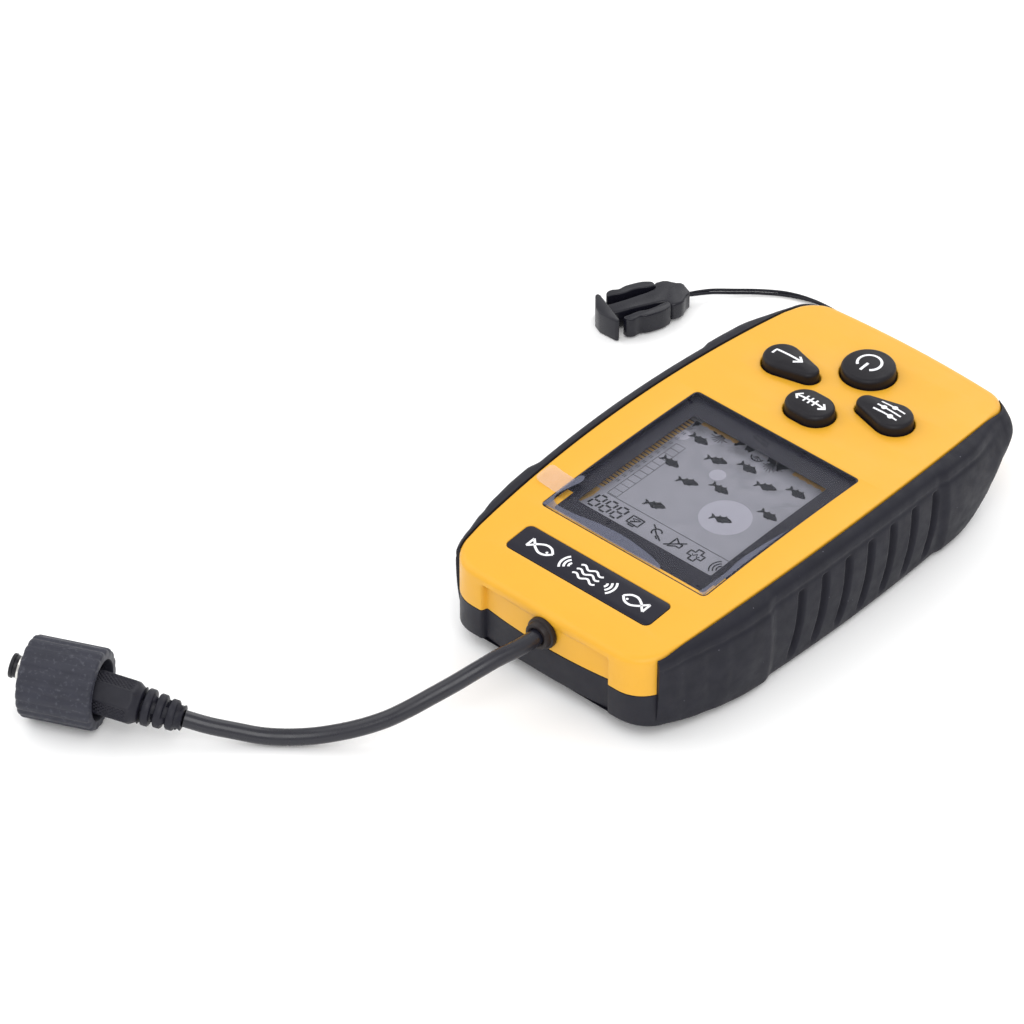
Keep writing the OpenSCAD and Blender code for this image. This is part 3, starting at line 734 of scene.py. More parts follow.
@dataclass
class CaseForm:
    """Outline and side profile that both shells and both grips share."""

    end_y: float = 62.5
    body_h: float = 25.5
    half_width: float = 31.75
    edge_r: float = 510.0
    arch_r: float = 650.0
    stern_r: float = 26.5
    stern_y: float = -36.0
    part_z: float = 12.6
    rise_y: float = 26.0
    rise_r: float = 151.0
    end_corner: float = 8.0
    stern_corner: float = 7.0
    step_hw: float = 17.5
    bow_r: float = 128.0
    arch_base: float = 14.0

    def side_x(self, y: float, inset: float = 0.0) -> float:
        """Half width of the face at y."""
        return self.half_width - inset - y * y / (2 * self.edge_r)

    def face_z(self, y: float) -> float:
        """Height of the face at y."""
        return self.body_h - self.arch_r + math.sqrt(self.arch_r ** 2 - y * y)

    def floor_z(self, y: float) -> float:
        """Height of the underside at y, which curves up at both ends.

        Args:
            y: Place along the case.

        Returns:
            The height.
        """
        if y > self.rise_y:
            return self.rise_r - math.sqrt(self.rise_r ** 2 - (y - self.rise_y) ** 2)
        if y < self.stern_y:
            reach = min(self.stern_y - y, self.stern_r)
            return self.stern_r - math.sqrt(self.stern_r ** 2 - reach ** 2)
        return 0.0

    def stern_share(self, z: float) -> float:
        """How much of the stern's full reach is left at height z."""
        up = clamp(self.stern_r - z, 0, self.stern_r)
        return math.sqrt(self.stern_r ** 2 - up * up) / self.stern_r

    def half_plan(self, inset: float, end_inset: float, pocket: float) -> list[Point2]:
        """Right half of the outline, from the stern to the lead end.

        Args:
            inset: How far the outline is moved in.
            end_inset: How far the lead end is moved in.
            pocket: Share of its full depth that the lead end's pocket has.

        Returns:
            The points.
        """
        sc, ec = self.stern_corner, self.end_corner
        stern_x = self.side_x(-self.end_y + sc + 1, inset) - sc + inset
        lead_x = self.side_x(self.end_y - ec, inset) - ec + inset
        low, high = -self.end_y + 1 + sc, self.end_y - end_inset - ec + inset
        points = [(stern_x * k / 6, -self.end_y + inset + (k / 6) ** 2) for k in range(6)]
        points += arc((stern_x, low), sc - inset, -90, 0, 9)
        points += [(self.side_x(low + (high - low) * k / 30, inset), low + (high - low) * k / 30)
                   for k in range(1, 30)]
        points += arc((lead_x, high), ec - inset, 0, 90, 10)
        end = self.end_y - end_inset
        edge = self.step_hw
        lip = [(edge + 1.1, 0.0), (edge + 0.75, 0.1), (edge + 0.45, 0.45), (edge + 0.3, 1.1),
               (edge + 0.15, 1.45)]
        bow = [(edge * (1 - k / 8), (edge * (1 - k / 8)) ** 2 / (2 * self.bow_r) + 0.3) for k in range(9)]
        return points + [(x, end - depth * pocket) for x, depth in lip + bow]

    def plan(self, inset: float = 0.0, end_inset: float | None = None, pocket: float = 1.0) -> list[Point2]:
        """Whole outline, anticlockwise from the middle of the stern."""
        half = self.half_plan(inset, inset if end_inset is None else end_inset, pocket)
        return half + [(-x, y) for x, y in reversed(half[1:-1])]

    def rim(self, y: float) -> float:
        """Radius of the face's edge at y: soft at both ends and crisp along the flanks."""
        return blend_through([(-60, 2.4), (-50, 0.5), (50, 0.5), (60, 1.8)], y)

    def bend_face(self, x: float, y: float, z: float) -> Point3:
        """Arches the upper shell and rolls its stern.

        Args:
            x: Place across.
            y: Place along.
            z: Height on the flat blank.

        Returns:
            The bent place.
        """
        if y < self.stern_y:
            y = self.stern_y + (y - self.stern_y) * self.stern_share(z)
        share = clamp((z - self.arch_base) / (self.body_h - self.arch_base))
        return (x, y, z - (self.body_h - self.face_z(y)) * share)

    def bend_floor(self, x: float, y: float, z: float) -> Point3:
        """Rolls the stern and the lead end of the lower shell upwards.

        Args:
            x: Place across.
            y: Place along.
            z: Height on the flat blank.

        Returns:
            The bent place.
        """
        if y < self.stern_y:
            y = self.stern_y + (y - self.stern_y) * self.stern_share(self.part_z)
        low = min(self.floor_z(y), self.part_z - 0.4)
        return (x, y, low + z * (self.part_z - low) / self.part_z)


def rounded_rect(centre: Point2, width: float, length: float, radius: float, steps: int = 6) -> list[Point2]:
    """Anticlockwise outline of a rectangle with round corners.

    Args:
        centre: Its middle.
        width: Size along X.
        length: Size along Y.
        radius: Radius of the corners.
        steps: Chords in each corner.

    Returns:
        The points.
    """
    (cx, cy), hx, hy = centre, width / 2 - radius, length / 2 - radius
    corners = [(hx, hy, 0), (-hx, hy, 90), (-hx, -hy, 180), (hx, -hy, 270)]
    return [p for x, y, a in corners for p in arc((cx + x, cy + y), radius, a, a + 90, steps)]


def lipped_cutter(name: str, outline: Sequence[Point2], floor: float, top: float,
                  lip: float) -> bpy.types.Object:
    """A cutter that leaves a rounded lip where it leaves the top face.

    Args:
        name: Name of the cutter.
        outline: Outline of the hole.
        floor: Height of the hole's floor.
        top: Height of the face that is cut.
        lip: Radius of the lip.

    Returns:
        The cutter.
    """
    levels = [(floor, 0.0)]
    for k in range(5):
        a = math.radians(90 * k / 4)
        levels.append((top - lip + lip * math.sin(a), lip * (1 - math.cos(a))))
    levels.append((top + 2, lip * 1.01))
    return Bench.skin(name, [[(x, y, z) for x, y in grown(outline, g)] for z, g in levels])


@dataclass
class KeyShape:
    """One rubber key: its outline, its place and its mark."""

    name: str
    centre: Point2
    outline: list[Point2]


@dataclass
class Shells:
    """Front and back case shells with their screws and battery door."""

    form: CaseForm
    keys: list[KeyShape]
    wall: float = 2.2
    lead_wall: float = 3.4
    window: tuple[float, float, float, float] = (11.5, 47.0, 52.0, 1.2)
    ledge: float = 2.0
    lens_t: float = 1.45
    plate: tuple[float, float, float, float] = (47.9, 41.0, 8.6, 1.5)
    plate_t: float = 0.85
    face_shift: float = 0.4
    key_gap: float = 0.35
    outlet_z: float = 17.2
    outlet_r: float = 3.15
    bay: tuple[float, float, float] = (22.3, -32.5, 17.5)
    bay_roof: float = 13.0
    door: tuple[float, float, float] = (23.7, -34.7, 21.0)
    door_t: float = 1.3
    door_gap: float = 0.3
    hook_x: float = 12.0
    hook_hw: float = 3.0
    screws: tuple[Point2, ...] = ((24.5, 50.0), (-24.5, 50.0), (23.6, -50.0), (-23.6, -50.0))
    head_r: float = 2.4
    head_z: float = 6.4
    strip: float = 3.0
    pocket_top: tuple[Point2, ...] = ((20.6, 1.0), (21.0, 0.95), (21.5, 0.7), (22.0, 0.25), (22.4, 0.0))

    def build(self) -> None:
        """Builds every piece of the shells."""
        self.front()
        self.back()
        self.battery_door()
        self.case_screws()

    def blank(self, name: str, low: float, high: float, rim: Callable[[float], float],
              upwards: bool) -> bpy.types.Object:
        """A solid of the case's outline with one rounded rim.

        Args:
            name: Name of the piece.
            low: Height of its lower face.
            high: Height of its upper face.
            rim: Radius of the rim as a function of y.
            upwards: Whether the rim is at the top and not at the bottom.

        Returns:
            The piece, before it is arched.
        """
        seam = 0.22
        start, end, sign = (low, high, 1) if upwards else (high, low, -1)
        plan = self.form.plan()
        rings = [[(x, y, start) for x, y in grown(plan, -seam)],
                 [(x, y, start + sign * seam) for x, y in plan]]
        if upwards:
            for z, share in self.pocket_top:
                rings.append([(x, y, z) for x, y in self.form.plan(pocket=share)])
        for k in range(7):
            a = math.radians(15 * k)
            plan = self.form.plan(pocket=0.0 if upwards else 1.0)
            radii = [rim(y) for _, y in plan]
            moved = grown(plan, [-r * (1 - math.cos(a)) for r in radii])
            rings.append([(x, y, end - sign * r * (1 - math.sin(a))) for (x, y), r in zip(moved, radii)])
        return Bench.skin(name, rings)

    def hollow(self, low: float, high: float) -> bpy.types.Object:
        """Cutter for the space inside a shell."""
        plan = self.form.plan(self.wall, self.lead_wall, 0.0)
        return Bench.skin("hollow", [[(x, y, z) for x, y in plan] for z in (low, high)])

    def front(self) -> None:
        """The coloured front shell, with its window, plate recess and key holes."""
        form = self.form
        top = form.body_h
        case = self.blank("case_front", form.part_z, top, form.rim, upwards=True)
        y, w, l, r = self.window
        frame_cut = lipped_cutter("window_cut", rounded_rect((0, y), w, l, r), top - self.lens_t, top, 0.15)
        opening = Bench.prism("opening", rounded_rect((0, y), w - 2 * self.ledge, l - 2 * self.ledge, 0.8),
                              10, top + 1)
        py, pw, pl, pr = self.plate
        plate_cut = lipped_cutter("plate_cut", rounded_rect((self.face_shift, py), pw, pl, pr),
                                  top - self.plate_t, top, 0.3)
        holes = [lipped_cutter("key_cut", grown(k.outline, self.key_gap), 10, top, 0.4) for k in self.keys]
        hollow = self.hollow(form.part_z - 1, top - self.wall)
        Bench.combine(case, [frame_cut, plate_cut, *holes, hollow, opening])
        Bench.slice_along_y(case, -60, 60, self.strip)
        Bench.reshape(case, form.bend_face)
        outlet = Bench.rod("outlet", self.outlet_r, (0, 50, self.outlet_z), (0, 70, self.outlet_z))
        bosses = [Bench.rod("boss", 3.2, (sx, sy, form.part_z + 0.1), (sx, sy, form.face_z(sy) - 1.5))
                  for sx, sy in self.screws]
        pilots = [Bench.rod("pilot", 1.3, (sx, sy, form.part_z - 1), (sx, sy, 20.5), 24)
                  for sx, sy in self.screws]
        Bench.combine(case, bosses, "UNION")
        Bench.combine(case, [outlet, *pilots])
        Bench.dress(case, YELLOW, "case_yellow", stands_for=["front_case"])

    def back(self) -> None:
        """The black back shell, with its battery bay and screw recesses."""
        form = self.form
        case = self.blank("case_back", 0.0, form.part_z, lambda y: 1.1, upwards=False)
        hollow = self.hollow(self.wall, form.part_z + 1)
        Bench.combine(case, [hollow])
        Bench.slice_along_y(case, -60, 60, self.strip)
        Bench.reshape(case, form.bend_floor)
        hw, y0, y1 = self.bay
        Bench.combine(case, [Bench.block("bay", (-hw - 1.6, y0 - 1.6, 0.3), (hw + 1.6, y1 + 7, 14))]
                      + [Bench.rod("boss", 3.2, (sx, sy, self.head_z - 0.6), (sx, sy, form.part_z))
                         for sx, sy in self.screws], "UNION")
        dw, d0, d1 = self.door
        g = self.door_gap
        cuts = [Bench.block("bay_room", (-hw, y0, -1), (hw, y1, self.bay_roof)),
                Bench.prism("door_room",
                            rounded_rect((0, (d0 + d1) / 2), 2 * (dw + g), d1 - d0 + 2 * g, 1.2),
                            -1, self.door_t + 0.1)]
        cuts += [Bench.block("hook_slot", (x - self.hook_hw - 0.4, 19.1, 1.2),
                             (x + self.hook_hw + 0.4, 23.3, 4.3))
                 for x in (-self.hook_x, self.hook_x)]
        for sx, sy in self.screws:
            cuts.append(Bench.rod("recess", self.head_r + 0.4, (sx, sy, -1), (sx, sy, self.head_z)))
            cuts.append(Bench.rod("shank_hole", 1.35, (sx, sy, 2), (sx, sy, 14), 24))
        cuts.append(Bench.block("lanyard_notch", (9, -70, 4), (18, -50.4, 11.2), 0.8))
        Bench.combine(case, cuts)
        Bench.dress(case, CASE_BLACK, "case_black", stands_for=["back_case"])

    def battery_door(self) -> None:
        """The battery door: a thin lid with finger ridges and two hooks."""
        dw, d0, d1 = self.door
        outline = rounded_rect((0, (d0 + d1) / 2), 2 * dw, d1 - d0, 1.0)
        door = Bench.prism("battery_lid", outline, 0, self.door_t)
        Bench.bevel(door, 0.25)
        grooves = [Bench.rod("groove", 0.6, (-8, d0 + 5 + 2.4 * k, 0), (8, d0 + 5 + 2.4 * k, 0), 20)
                   for k in range(4)]
        arrow = Bench.prism("arrow", [(0, d0 + 18.6), (-2.6, d0 + 15.4), (2.6, d0 + 15.4)], -0.5, 0.35)
        Bench.combine(door, [*grooves, arrow])
        hooks = [Bench.block("hook", (x - self.hook_hw, d1 - 0.6, self.door_t - 0.2),
                             (x + self.hook_hw, d1 + 1.3, self.door_t + 0.8), 0.15)
                 for x in (-self.hook_x, self.hook_x)]
        Bench.combine(door, hooks, "UNION")
        Bench.dress(door, CASE_BLACK, "case_black", "battery_door", ["battery_door"])

    def case_screws(self) -> None:
        """Four pan-head screws, each built from the same profile."""
        for k, (x, y) in enumerate(self.screws):
            head_low = self.head_z - 1.8
            profile = [(0.0, head_low), (1.3, head_low + 0.05), (2.1, head_low + 0.5), (2.4, head_low + 1.1),
                       (2.4, self.head_z), (1.25, self.head_z), (1.25, 19.6), (0.9, 20.0), (0.0, 20.0)]
            screw = Turned.body(f"case_screw_{k + 1}", profile, 40)
            slots = [Bench.block("slot", (-1.4, -0.3, head_low - 1), (1.4, 0.3, head_low + 0.8)),
                     Bench.block("slot", (-0.3, -1.4, head_low - 1), (0.3, 1.4, head_low + 0.8))]
            Bench.combine(screw, slots)
            Bench.place(screw, Matrix.Translation((x, y, 0)))
            Bench.dress(screw, STEEL, "screw_steel", stands_for=["case_screws"] if k == 0 else [])


class Turned:
    """Pieces turned about their own axis."""

    @staticmethod
    def body(name: str, profile: Sequence[Point2], sides: int = 64,
             shape: Callable[[float, float, float], float] | None = None) -> bpy.types.Object:
        """A closed body turned about Z.

        Args:
            name: Name of the piece.
            profile: (radius, height) points; a radius of 0 closes an end.
            sides: Number of points round it.
            shape: Gives the radius from (angle, radius, height), for ribs and flats.

        Returns:
            The piece.
        """
        rings = []
        for r, z in profile:
            ring = []
            for k in range(sides):
                a = 2 * math.pi * k / sides
                reach = max(shape(a, r, z) if shape else r, 0.0)
                ring.append((reach * math.cos(a), reach * math.sin(a), z))
            rings.append(ring)
        open_end = profile[0][0] > 0
        if open_end:
            rings.append(rings[0])
        return Bench.skin(name, rings, capped=False)


@dataclass
class Grips:
    """Soft side grips, lofted along the case's edge with a shouldered section."""

    form: CaseForm
    groove_n: int = 7
    pitch: float = 7.5
    first_y: float = 18.2
    lean: float = 3.6
    bow: float = 1.1
    groove_w: float = 0.95
    groove_d: float = 1.55
    gap: float = 0.12
    reach: tuple[Point2, ...] = ((-62, 3.2), (-57, 4.0), (-50, 4.8), (-42, 5.0), (-35, 5.0), (-31, 4.9),
                                 (-28, 3.8), (-20, 3.8), (0, 3.7), (16, 3.5), (26, 3.4), (29.5, 4.9),
                                 (35, 4.9), (41, 4.3), (47, 3.1), (53, 2.0), (58, 1.2), (62, 0.7))
    flank: tuple[tuple[float, float, float], ...] = (
        (0.0, 0.0, 0.93), (0.0, 0.3, 0.995), (0.0, 0.7, 1.0), (0.35, 0.55, 0.985), (0.55, 0.75, 0.955),
        (0.62, 0.9, 0.90), (0.70, 0.55, 0.855), (0.86, 0.35, 0.80), (1.0, 0.0, 0.62), (0.99, 0.0, 0.45),
        (0.90, 0.0, 0.28), (0.78, 0.0, 0.14), (0.6, 0.0, 0.04), (0.2, 0.0, 0.0), (0.0, 0.0, 0.0))
    stern: tuple[tuple[float, float, float], ...] = (
        (0.0, 0.0, 0.93), (0.0, 0.2, 0.995), (0.0, 0.45, 1.0), (0.14, 0.35, 0.985), (0.26, 0.3, 0.955),
        (0.38, 0.3, 0.90), (0.50, 0.25, 0.85), (0.72, 0.15, 0.76), (1.0, 0.0, 0.60), (1.05, 0.0, 0.45),
        (1.0, 0.0, 0.28), (0.85, 0.0, 0.14), (0.6, 0.0, 0.04), (0.2, 0.0, 0.0), (0.0, 0.0, 0.0))

    def build(self) -> None:
        """Builds both grips."""
        for side, name in ((1, "grip_right"), (-1, "grip_left")):
            rings = [[(side * x, y, z) for x, y, z in self.ring(s)] for s in self.stations()]
            grip = Bench.skin(f"{name}_pad", rings)
            Bench.dress(grip, RUBBER, "grip_rubber", stands_for=[name], angle=45)

    def stations(self) -> list[tuple[Vector, Vector]]:
        """Places along the case's edge, each with its outward direction.

        Returns:
            Pairs of a place and its outward direction.
        """
        form = self.form
        edge = [Vector(p) for p in form.half_plan(0.0, 0.0, 0.0)]
        kept = [p for p in edge if p.x > (24.5 if p.y < 0 else 27.6)]
        line = curve_through([tuple(p) for p in kept], 12)
        out = []
        walked = 0.0
        wanted = 0.0
        for k in range(1, len(line) - 1):
            walked += (line[k] - line[k - 1]).length
            if walked < wanted:
                continue
            along = (line[k + 1] - line[k - 1]).normalized()
            out.append((line[k], Vector((along.y, -along.x))))
            wanted = walked + 0.3
        return out

    def groove(self, y: float, h: float) -> float:
        """Depth of the grooves at place y and height share h.

        Args:
            y: Place along the case.
            h: Share of the height.

        Returns:
            The depth.
        """
        window = ease((h - 0.1) / 0.12) * ease((0.84 - h) / 0.07)
        shift = self.lean * (1 - h) - self.bow * 4 * h * (1 - h)
        depth = 0.0
        for k in range(self.groove_n):
            off = (y - (self.first_y - self.pitch * k + shift)) / self.groove_w
            depth += self.groove_d * math.exp(-off * off * off * off)
        return depth * window

    def ring(self, station: tuple[Vector, Vector]) -> list[Point3]:
        """One closed section of the grip.

        Args:
            station: A place and its outward direction.

        Returns:
            The points of the section.
        """
        at, out = station
        form = self.form
        y = at.y
        low = form.floor_z(y) + 0.35
        high = form.face_z(y) - 0.12 - 0.45 * (form.rim(y) - 0.5)
        wrap = ease((28.5 - at.x) / 3.0) if y < 0 else 0.0
        reach = blend_through(self.reach, y) * (1 - 0.75 * wrap)
        end = ease((-y - 40) / 14)
        stops = []
        for (share, fixed, h), (share_s, fixed_s, h_s) in zip(self.flank, self.stern):
            share, fixed, h = (a + (b - a) * end for a, b in ((share, share_s), (fixed, fixed_s), (h, h_s)))
            stops.append((self.gap + share * reach + fixed * min(1.0, reach / 3.5), h))
        ring: list[Point3] = []
        for d, h in curve_through(stops, 4):
            d = clamp(d, self.gap, 9.0)
            d -= min(self.groove(y, h), max(d - 1.2, 0.0))
            tuck = (1 - h) * (1 - h) * 1.2 * ease((abs(y) - 50) / 10)
            ring.append(self.settle(at + out * (d - tuck), y, low + h * (high - low)))
        ring.append(self.settle(at - out * 1.2, y, low + 1.4))
        ring.append(self.settle(at - out * 0.2, y, low + 2.2))
        return ring

    def settle(self, at: Vector, y: float, z: float) -> Point3:
        """Rolls a point near the stern inwards as the shells do.

        Args:
            at: Place seen from above.
            y: Place along the case before the roll.
            z: Height.

        Returns:
            The rolled place.
        """
        form = self.form
        if y < form.stern_y:
            return (at.x, form.stern_y + (at.y - form.stern_y) * form.stern_share(max(z, 9.5)), z)
        return (at.x, at.y, z)


# ---- Printed marks ----


@dataclass
class Artwork:
    """Thin printed marks, drawn as strokes and filled shapes."""

    strokes: list[tuple[list[Point2], float]] = field(default_factory=list)
    shapes: list[list[Point2]] = field(default_factory=list)

    def stroke(self, points: Sequence[Sequence[float]], width: float) -> None:
        """Adds a line of some width through points."""
        self.strokes.append(([(p[0], p[1]) for p in points], width))

    def fill(self, outline: Sequence[Sequence[float]]) -> None:
        """Adds a filled shape."""
        self.shapes.append([(p[0], p[1]) for p in outline])

    def ring(self, centre: Point2, radius: float, start: float, end: float, width: float) -> None:
        """Adds a stroke along an arc."""
        self.stroke(arc(centre, radius, start, end, 28), width)

    def move(self, dx: float, dy: float) -> None:
        """Moves all the marks drawn so far."""
        self.strokes = [([(x + dx, y + dy) for x, y in line], width) for line, width in self.strokes]
        self.shapes = [[(x + dx, y + dy) for x, y in outline] for outline in self.shapes]

    @staticmethod
    def ribbon(points: list[Point2], width: float) -> tuple[list[Point2], list[Point2]]:
        """Left and right edges of a stroke.

        Args:
            points: Middle line of the stroke.
            width: Its width.

        Returns:
            The left edge and the right edge.
        """
        dense = [points[0]]
        for a, b in zip(points, points[1:]):
            span = math.dist(a, b)
            count = max(1, math.ceil(span / 0.7))
            dense += [(a[0] + (b[0] - a[0]) * k / count, a[1] + (b[1] - a[1]) * k / count)
                      for k in range(1, count + 1)]
        left, right = [], []
        for k, (x, y) in enumerate(dense):
            a, b = dense[max(k - 1, 0)], dense[min(k + 1, len(dense) - 1)]
            along = Vector((b[0] - a[0], b[1] - a[1])).normalized()
            left.append((x - along.y * width / 2, y + along.x * width / 2))
            right.append((x + along.y * width / 2, y - along.x * width / 2))
        return left, right

    def print_on(self, name: str, height: Height, thickness: float = 0.05) -> bpy.types.Object:
        """Makes the marks as thin solids that lie on a surface.

        Args:
            name: Name of the piece.
            height: Height of the surface at (x, y).
            thickness: How far the marks stand above it.

        Returns:
            The piece.
        """
        points: list[Point3] = []
        faces: list[list[int]] = []

        def lay(outline: Sequence[Point2]) -> tuple[int, int]:
            """Adds an outline at both heights and returns where each starts.

            Args:
                outline: The outline.

            Returns:
                Index of its first upper point and of its first lower point.
            """
            top = len(points)
            points.extend((x * MM, y * MM, (height(x, y) + thickness) * MM) for x, y in outline)
            points.extend((x * MM, y * MM, (height(x, y) - 0.02) * MM) for x, y in outline)
            return top, top + len(outline)

        for line, width in self.strokes:
            left, right = self.ribbon(line, width)
            n = len(left)
            top, low = lay(left + right)
            for k in range(n - 1):
                faces.append([top + k, top + k + 1, top + n + k + 1, top + n + k])
                faces.append([low + k, low + n + k, low + n + k + 1, low + k + 1])
                faces.append([top + k, low + k, low + k + 1, top + k + 1])
                faces.append([top + n + k, top + n + k + 1, low + n + k + 1, low + n + k])
            faces.append([top, top + n, low + n, low])
            faces.append([top + n - 1, low + n - 1, low + 2 * n - 1, top + 2 * n - 1])
        for outline in self.shapes:
            n = len(outline)
            top, low = lay(outline)
            faces.append(list(range(top, top + n)))
            faces.append(list(range(low + n - 1, low - 1, -1)))
            faces += [[top + k, low + k, low + (k + 1) % n, top + (k + 1) % n] for k in range(n)]
        mesh = bpy.data.meshes.new(name)
        mesh.from_pydata(points, [], faces)
        piece = bpy.data.objects.new(name, mesh)
        bpy.context.scene.collection.objects.link(piece)
        Bench.edit(piece)
        bpy.ops.mesh.normals_make_consistent(inside=False)
        bpy.ops.object.mode_set(mode="OBJECT")
        return piece


def surface_height(piece: bpy.types.Object) -> Height:
    """Reads the height of a piece's top surface by looking down on it.

    Args:
        piece: The piece.

    Returns:
        The height as a function of x and y.
    """
    def height(x: float, y: float) -> float:
        """Height at (x, y) in millimetres."""
        hit, place, _, _ = piece.ray_cast(Vector((x * MM, y * MM, 0.1)), Vector((0, 0, -1)))
        return place.z / MM if hit else 0.0
    return height


FISH = ((-2.85, 0.05), (-2.35, 0.42), (-1.7, 0.62), (-1.25, 0.72), (-1.1, 1.12), (-0.55, 1.0), (0.05, 1.22),
        (0.55, 0.95), (0.85, 0.62), (1.5, 0.28), (2.35, 0.95), (2.75, 1.0), (2.3, 0.1), (2.8, -0.75),
        (2.2, -0.62), (1.5, -0.15), (0.9, -0.4), (0.65, -0.95), (0.25, -0.62), (-0.5, -0.82), (-0.8, -1.25),
        (-1.2, -0.85), (-1.9, -0.6), (-2.45, -0.35))


def fish_shape(at: Point2, size: float, turn: float) -> list[Point2]:
    """Outline of a small swimming fish that heads to -X before it is turned by degrees."""
    c, s = math.cos(math.radians(turn)) * size, math.sin(math.radians(turn)) * size
    return [(at[0] + x * c - 1.2 * y * s, at[1] + x * s + 1.2 * y * c) for x, y in FISH]


@dataclass
class Screen:
    """Marks on the display: fish, ruler, depth digits, status icons and lake bed."""

    glass_z: float = 22.0
    fish_left: tuple[Point2, ...] = ((6.9, -1.9), (6.7, 8.0), (6.8, 18.8), (-7.1, 12.9), (-7.1, -2.1))
    fish_right: tuple[Point2, ...] = ((14.0, 5.3), (14.4, -4.9), (0.0, -4.5), (-0.1, 5.1), (-13.6, -4.9),
                                      (-13.9, 5.0))
    glow: tuple[tuple[float, float, float], ...] = ((-7.5, 11.9, 5.95), (3.3, 1.9, 1.9), (18.2, -3.6, 1.8))
    row_y: float = 25.9
    rocks: tuple[tuple[float, float, float, float], ...] = (
        (13.0, -10.3, 5.5, 1.7), (7.2, -10.5, 3.2, 2.2), (4.0, -10.6, 2.6, 2.6), (-2.2, -10.6, 2.4, 2.2),
        (-5.2, -10.6, 3.6, 2.8), (-9.8, -10.8, 3.2, 1.7), (-14.5, -10.6, 4.5, 1.2), (18.4, -9.4, 1.6, 2.4))
    weeds: tuple[tuple[float, float, float], ...] = ((11.2, 3.6, 0.2), (-3.2, 3.9, -0.5), (-4.6, 2.9, 0.4))

    def build(self) -> None:
        """Builds the display's layers, from the palest up."""
        layers = ((self.glows(), "lcd_glows", MARK_PALE, "screen_grey", 0.01),
                  (self.bed(), "lcd_lake_bed", MARK_DARK, "mask_black", 0.03),
                  (self.sand(), "lcd_sand", MARK_TAN, "header_ivory", 0.04),
                  (self.lines(), "lcd_lines", MARK_GREY, "screen_grey", 0.03),
                  (self.figures(), "lcd_figures", MARK_DARK, "mask_black", 0.05))
        for art, name, finish, slot, rise in layers:
            piece = art.print_on(name, lambda x, y: self.glass_z, rise)
            Bench.dress(piece, finish, slot)

    def glows(self) -> Artwork:
        """Pale discs of the sonar beam and of bubbles.

        Returns:
            The drawing.
        """
        art = Artwork()
        for x, y, r in self.glow:
            art.fill(arc((x, y), r, 0, 350, 35))
        return art

    def bed(self) -> Artwork:
        """Rocks, a shell and weeds along the lake bed.

        Returns:
            The drawing.
        """
        art = Artwork()
        for x, y, w, h in self.rocks:
            art.fill([(x + w * (1 - k / 9) - w / 2, y + h * math.sin(math.pi * k / 9) ** 0.8
                       * (0.8 + 0.2 * math.sin(5 * k + x))) for k in range(10)])
        for x, tall, lean in self.weeds:
            for k in range(-3, 4):
                tip = x + 0.75 * k + lean
                art.stroke([(x + 0.08 * k, -10.0), (x + 0.35 * k, -10.0 + tall * 0.55),
                            (tip, -10.0 + tall * (1 - 0.05 * k * k))], 0.17)
        art.ring((0.8, -8.9), 1.6, 10, 170, 0.3)
        for k in range(5):
            a = math.radians(30 + 30 * k)
            art.stroke([(0.8, -8.9), (0.8 + 1.5 * math.cos(a), -8.9 + 1.5 * math.sin(a))], 0.16)
        return art

    def sand(self) -> Artwork:
        """Tan ruler down one side and strips of sand along the bed.

        Returns:
            The drawing.
        """
        art = Artwork()
        for k in range(28):
            y = -8.6 + 1.1 * k
            art.fill([(20.9, y), (20.9, y + 0.62), (19.2, y + 0.62), (19.2, y)])
        art.fill([(20.95, 22.6), (20.95, 28.9), (19.6, 28.6), (18.9, 25.4), (19.1, 22.6)])
        for x0, x1 in ((7.4, 17.6), (-18.0, -8.6)):
            top = [(x1 + (x0 - x1) * k / 12, -9.15 + 0.22 * math.sin(2.4 * k)) for k in range(13)]
            art.fill([(x0, -10.2), (x1, -10.2), *top])
        return art

    def lines(self) -> Artwork:
        """Thin lines: the depth ladder and the rule under the status row.

        Returns:
            The drawing.
        """
        art = Artwork()
        for x in (14.6, 17.2):
            art.stroke([(x, -0.4), (x, 22.4)], 0.14)
        for k in range(12):
            y = -0.4 + 22.8 / 11 * k
            art.stroke([(14.6, y), (17.2, y)], 0.14)
        art.stroke([(17.2, 22.7), (-17.9, 22.7)], 0.18)
        for k in range(12):
            y = -6.8 + 2.2 * k
            art.stroke([(18.1, y), (18.1, y + 0.9)], 0.2)
            art.stroke([(18.6, y), (18.6, y + 0.9)], 0.14)
        return art

    def figures(self) -> Artwork:
        """Fish and the status row.

        Returns:
            The drawing.
        """
        art = Artwork()
        for spots, turn in ((self.fish_left, 14), (self.fish_right, -8)):
            for at in spots:
                art.fill(fish_shape(at, 0.95, turn))
        for k in range(28):
            art.stroke([(19.1, -8.8 + 1.1 * k), (20.9, -8.8 + 1.1 * k)], 0.2)
        self.digits(art)
        self.icons(art)
        return art

    def digits(self, art: Artwork) -> None:
        """Three seven-segment digits with all of their segments on.

        Args:
            art: The drawing that they are added to.
        """
        w, h, slant = 2.15, 4.2, 0.12
        for k in range(3):
            x0, y0 = 9.3 + 3.15 * k, self.row_y + 0.2 - h / 2

            def at(u: float, v: float) -> Point2:
                """A corner of the digit, slanted."""
                return (x0 + u * w + slant * v * h, y0 + v * h)

            gap = 0.07
            for v in (0.0, 0.5, 1.0):
                art.stroke([at(0.18, v), at(0.82, v)], 0.5)
            for u in (0.0, 1.0):
                for v in (0.0, 0.5):
                    art.stroke([at(u, v + gap), at(u, v + 0.5 - gap)], 0.5)

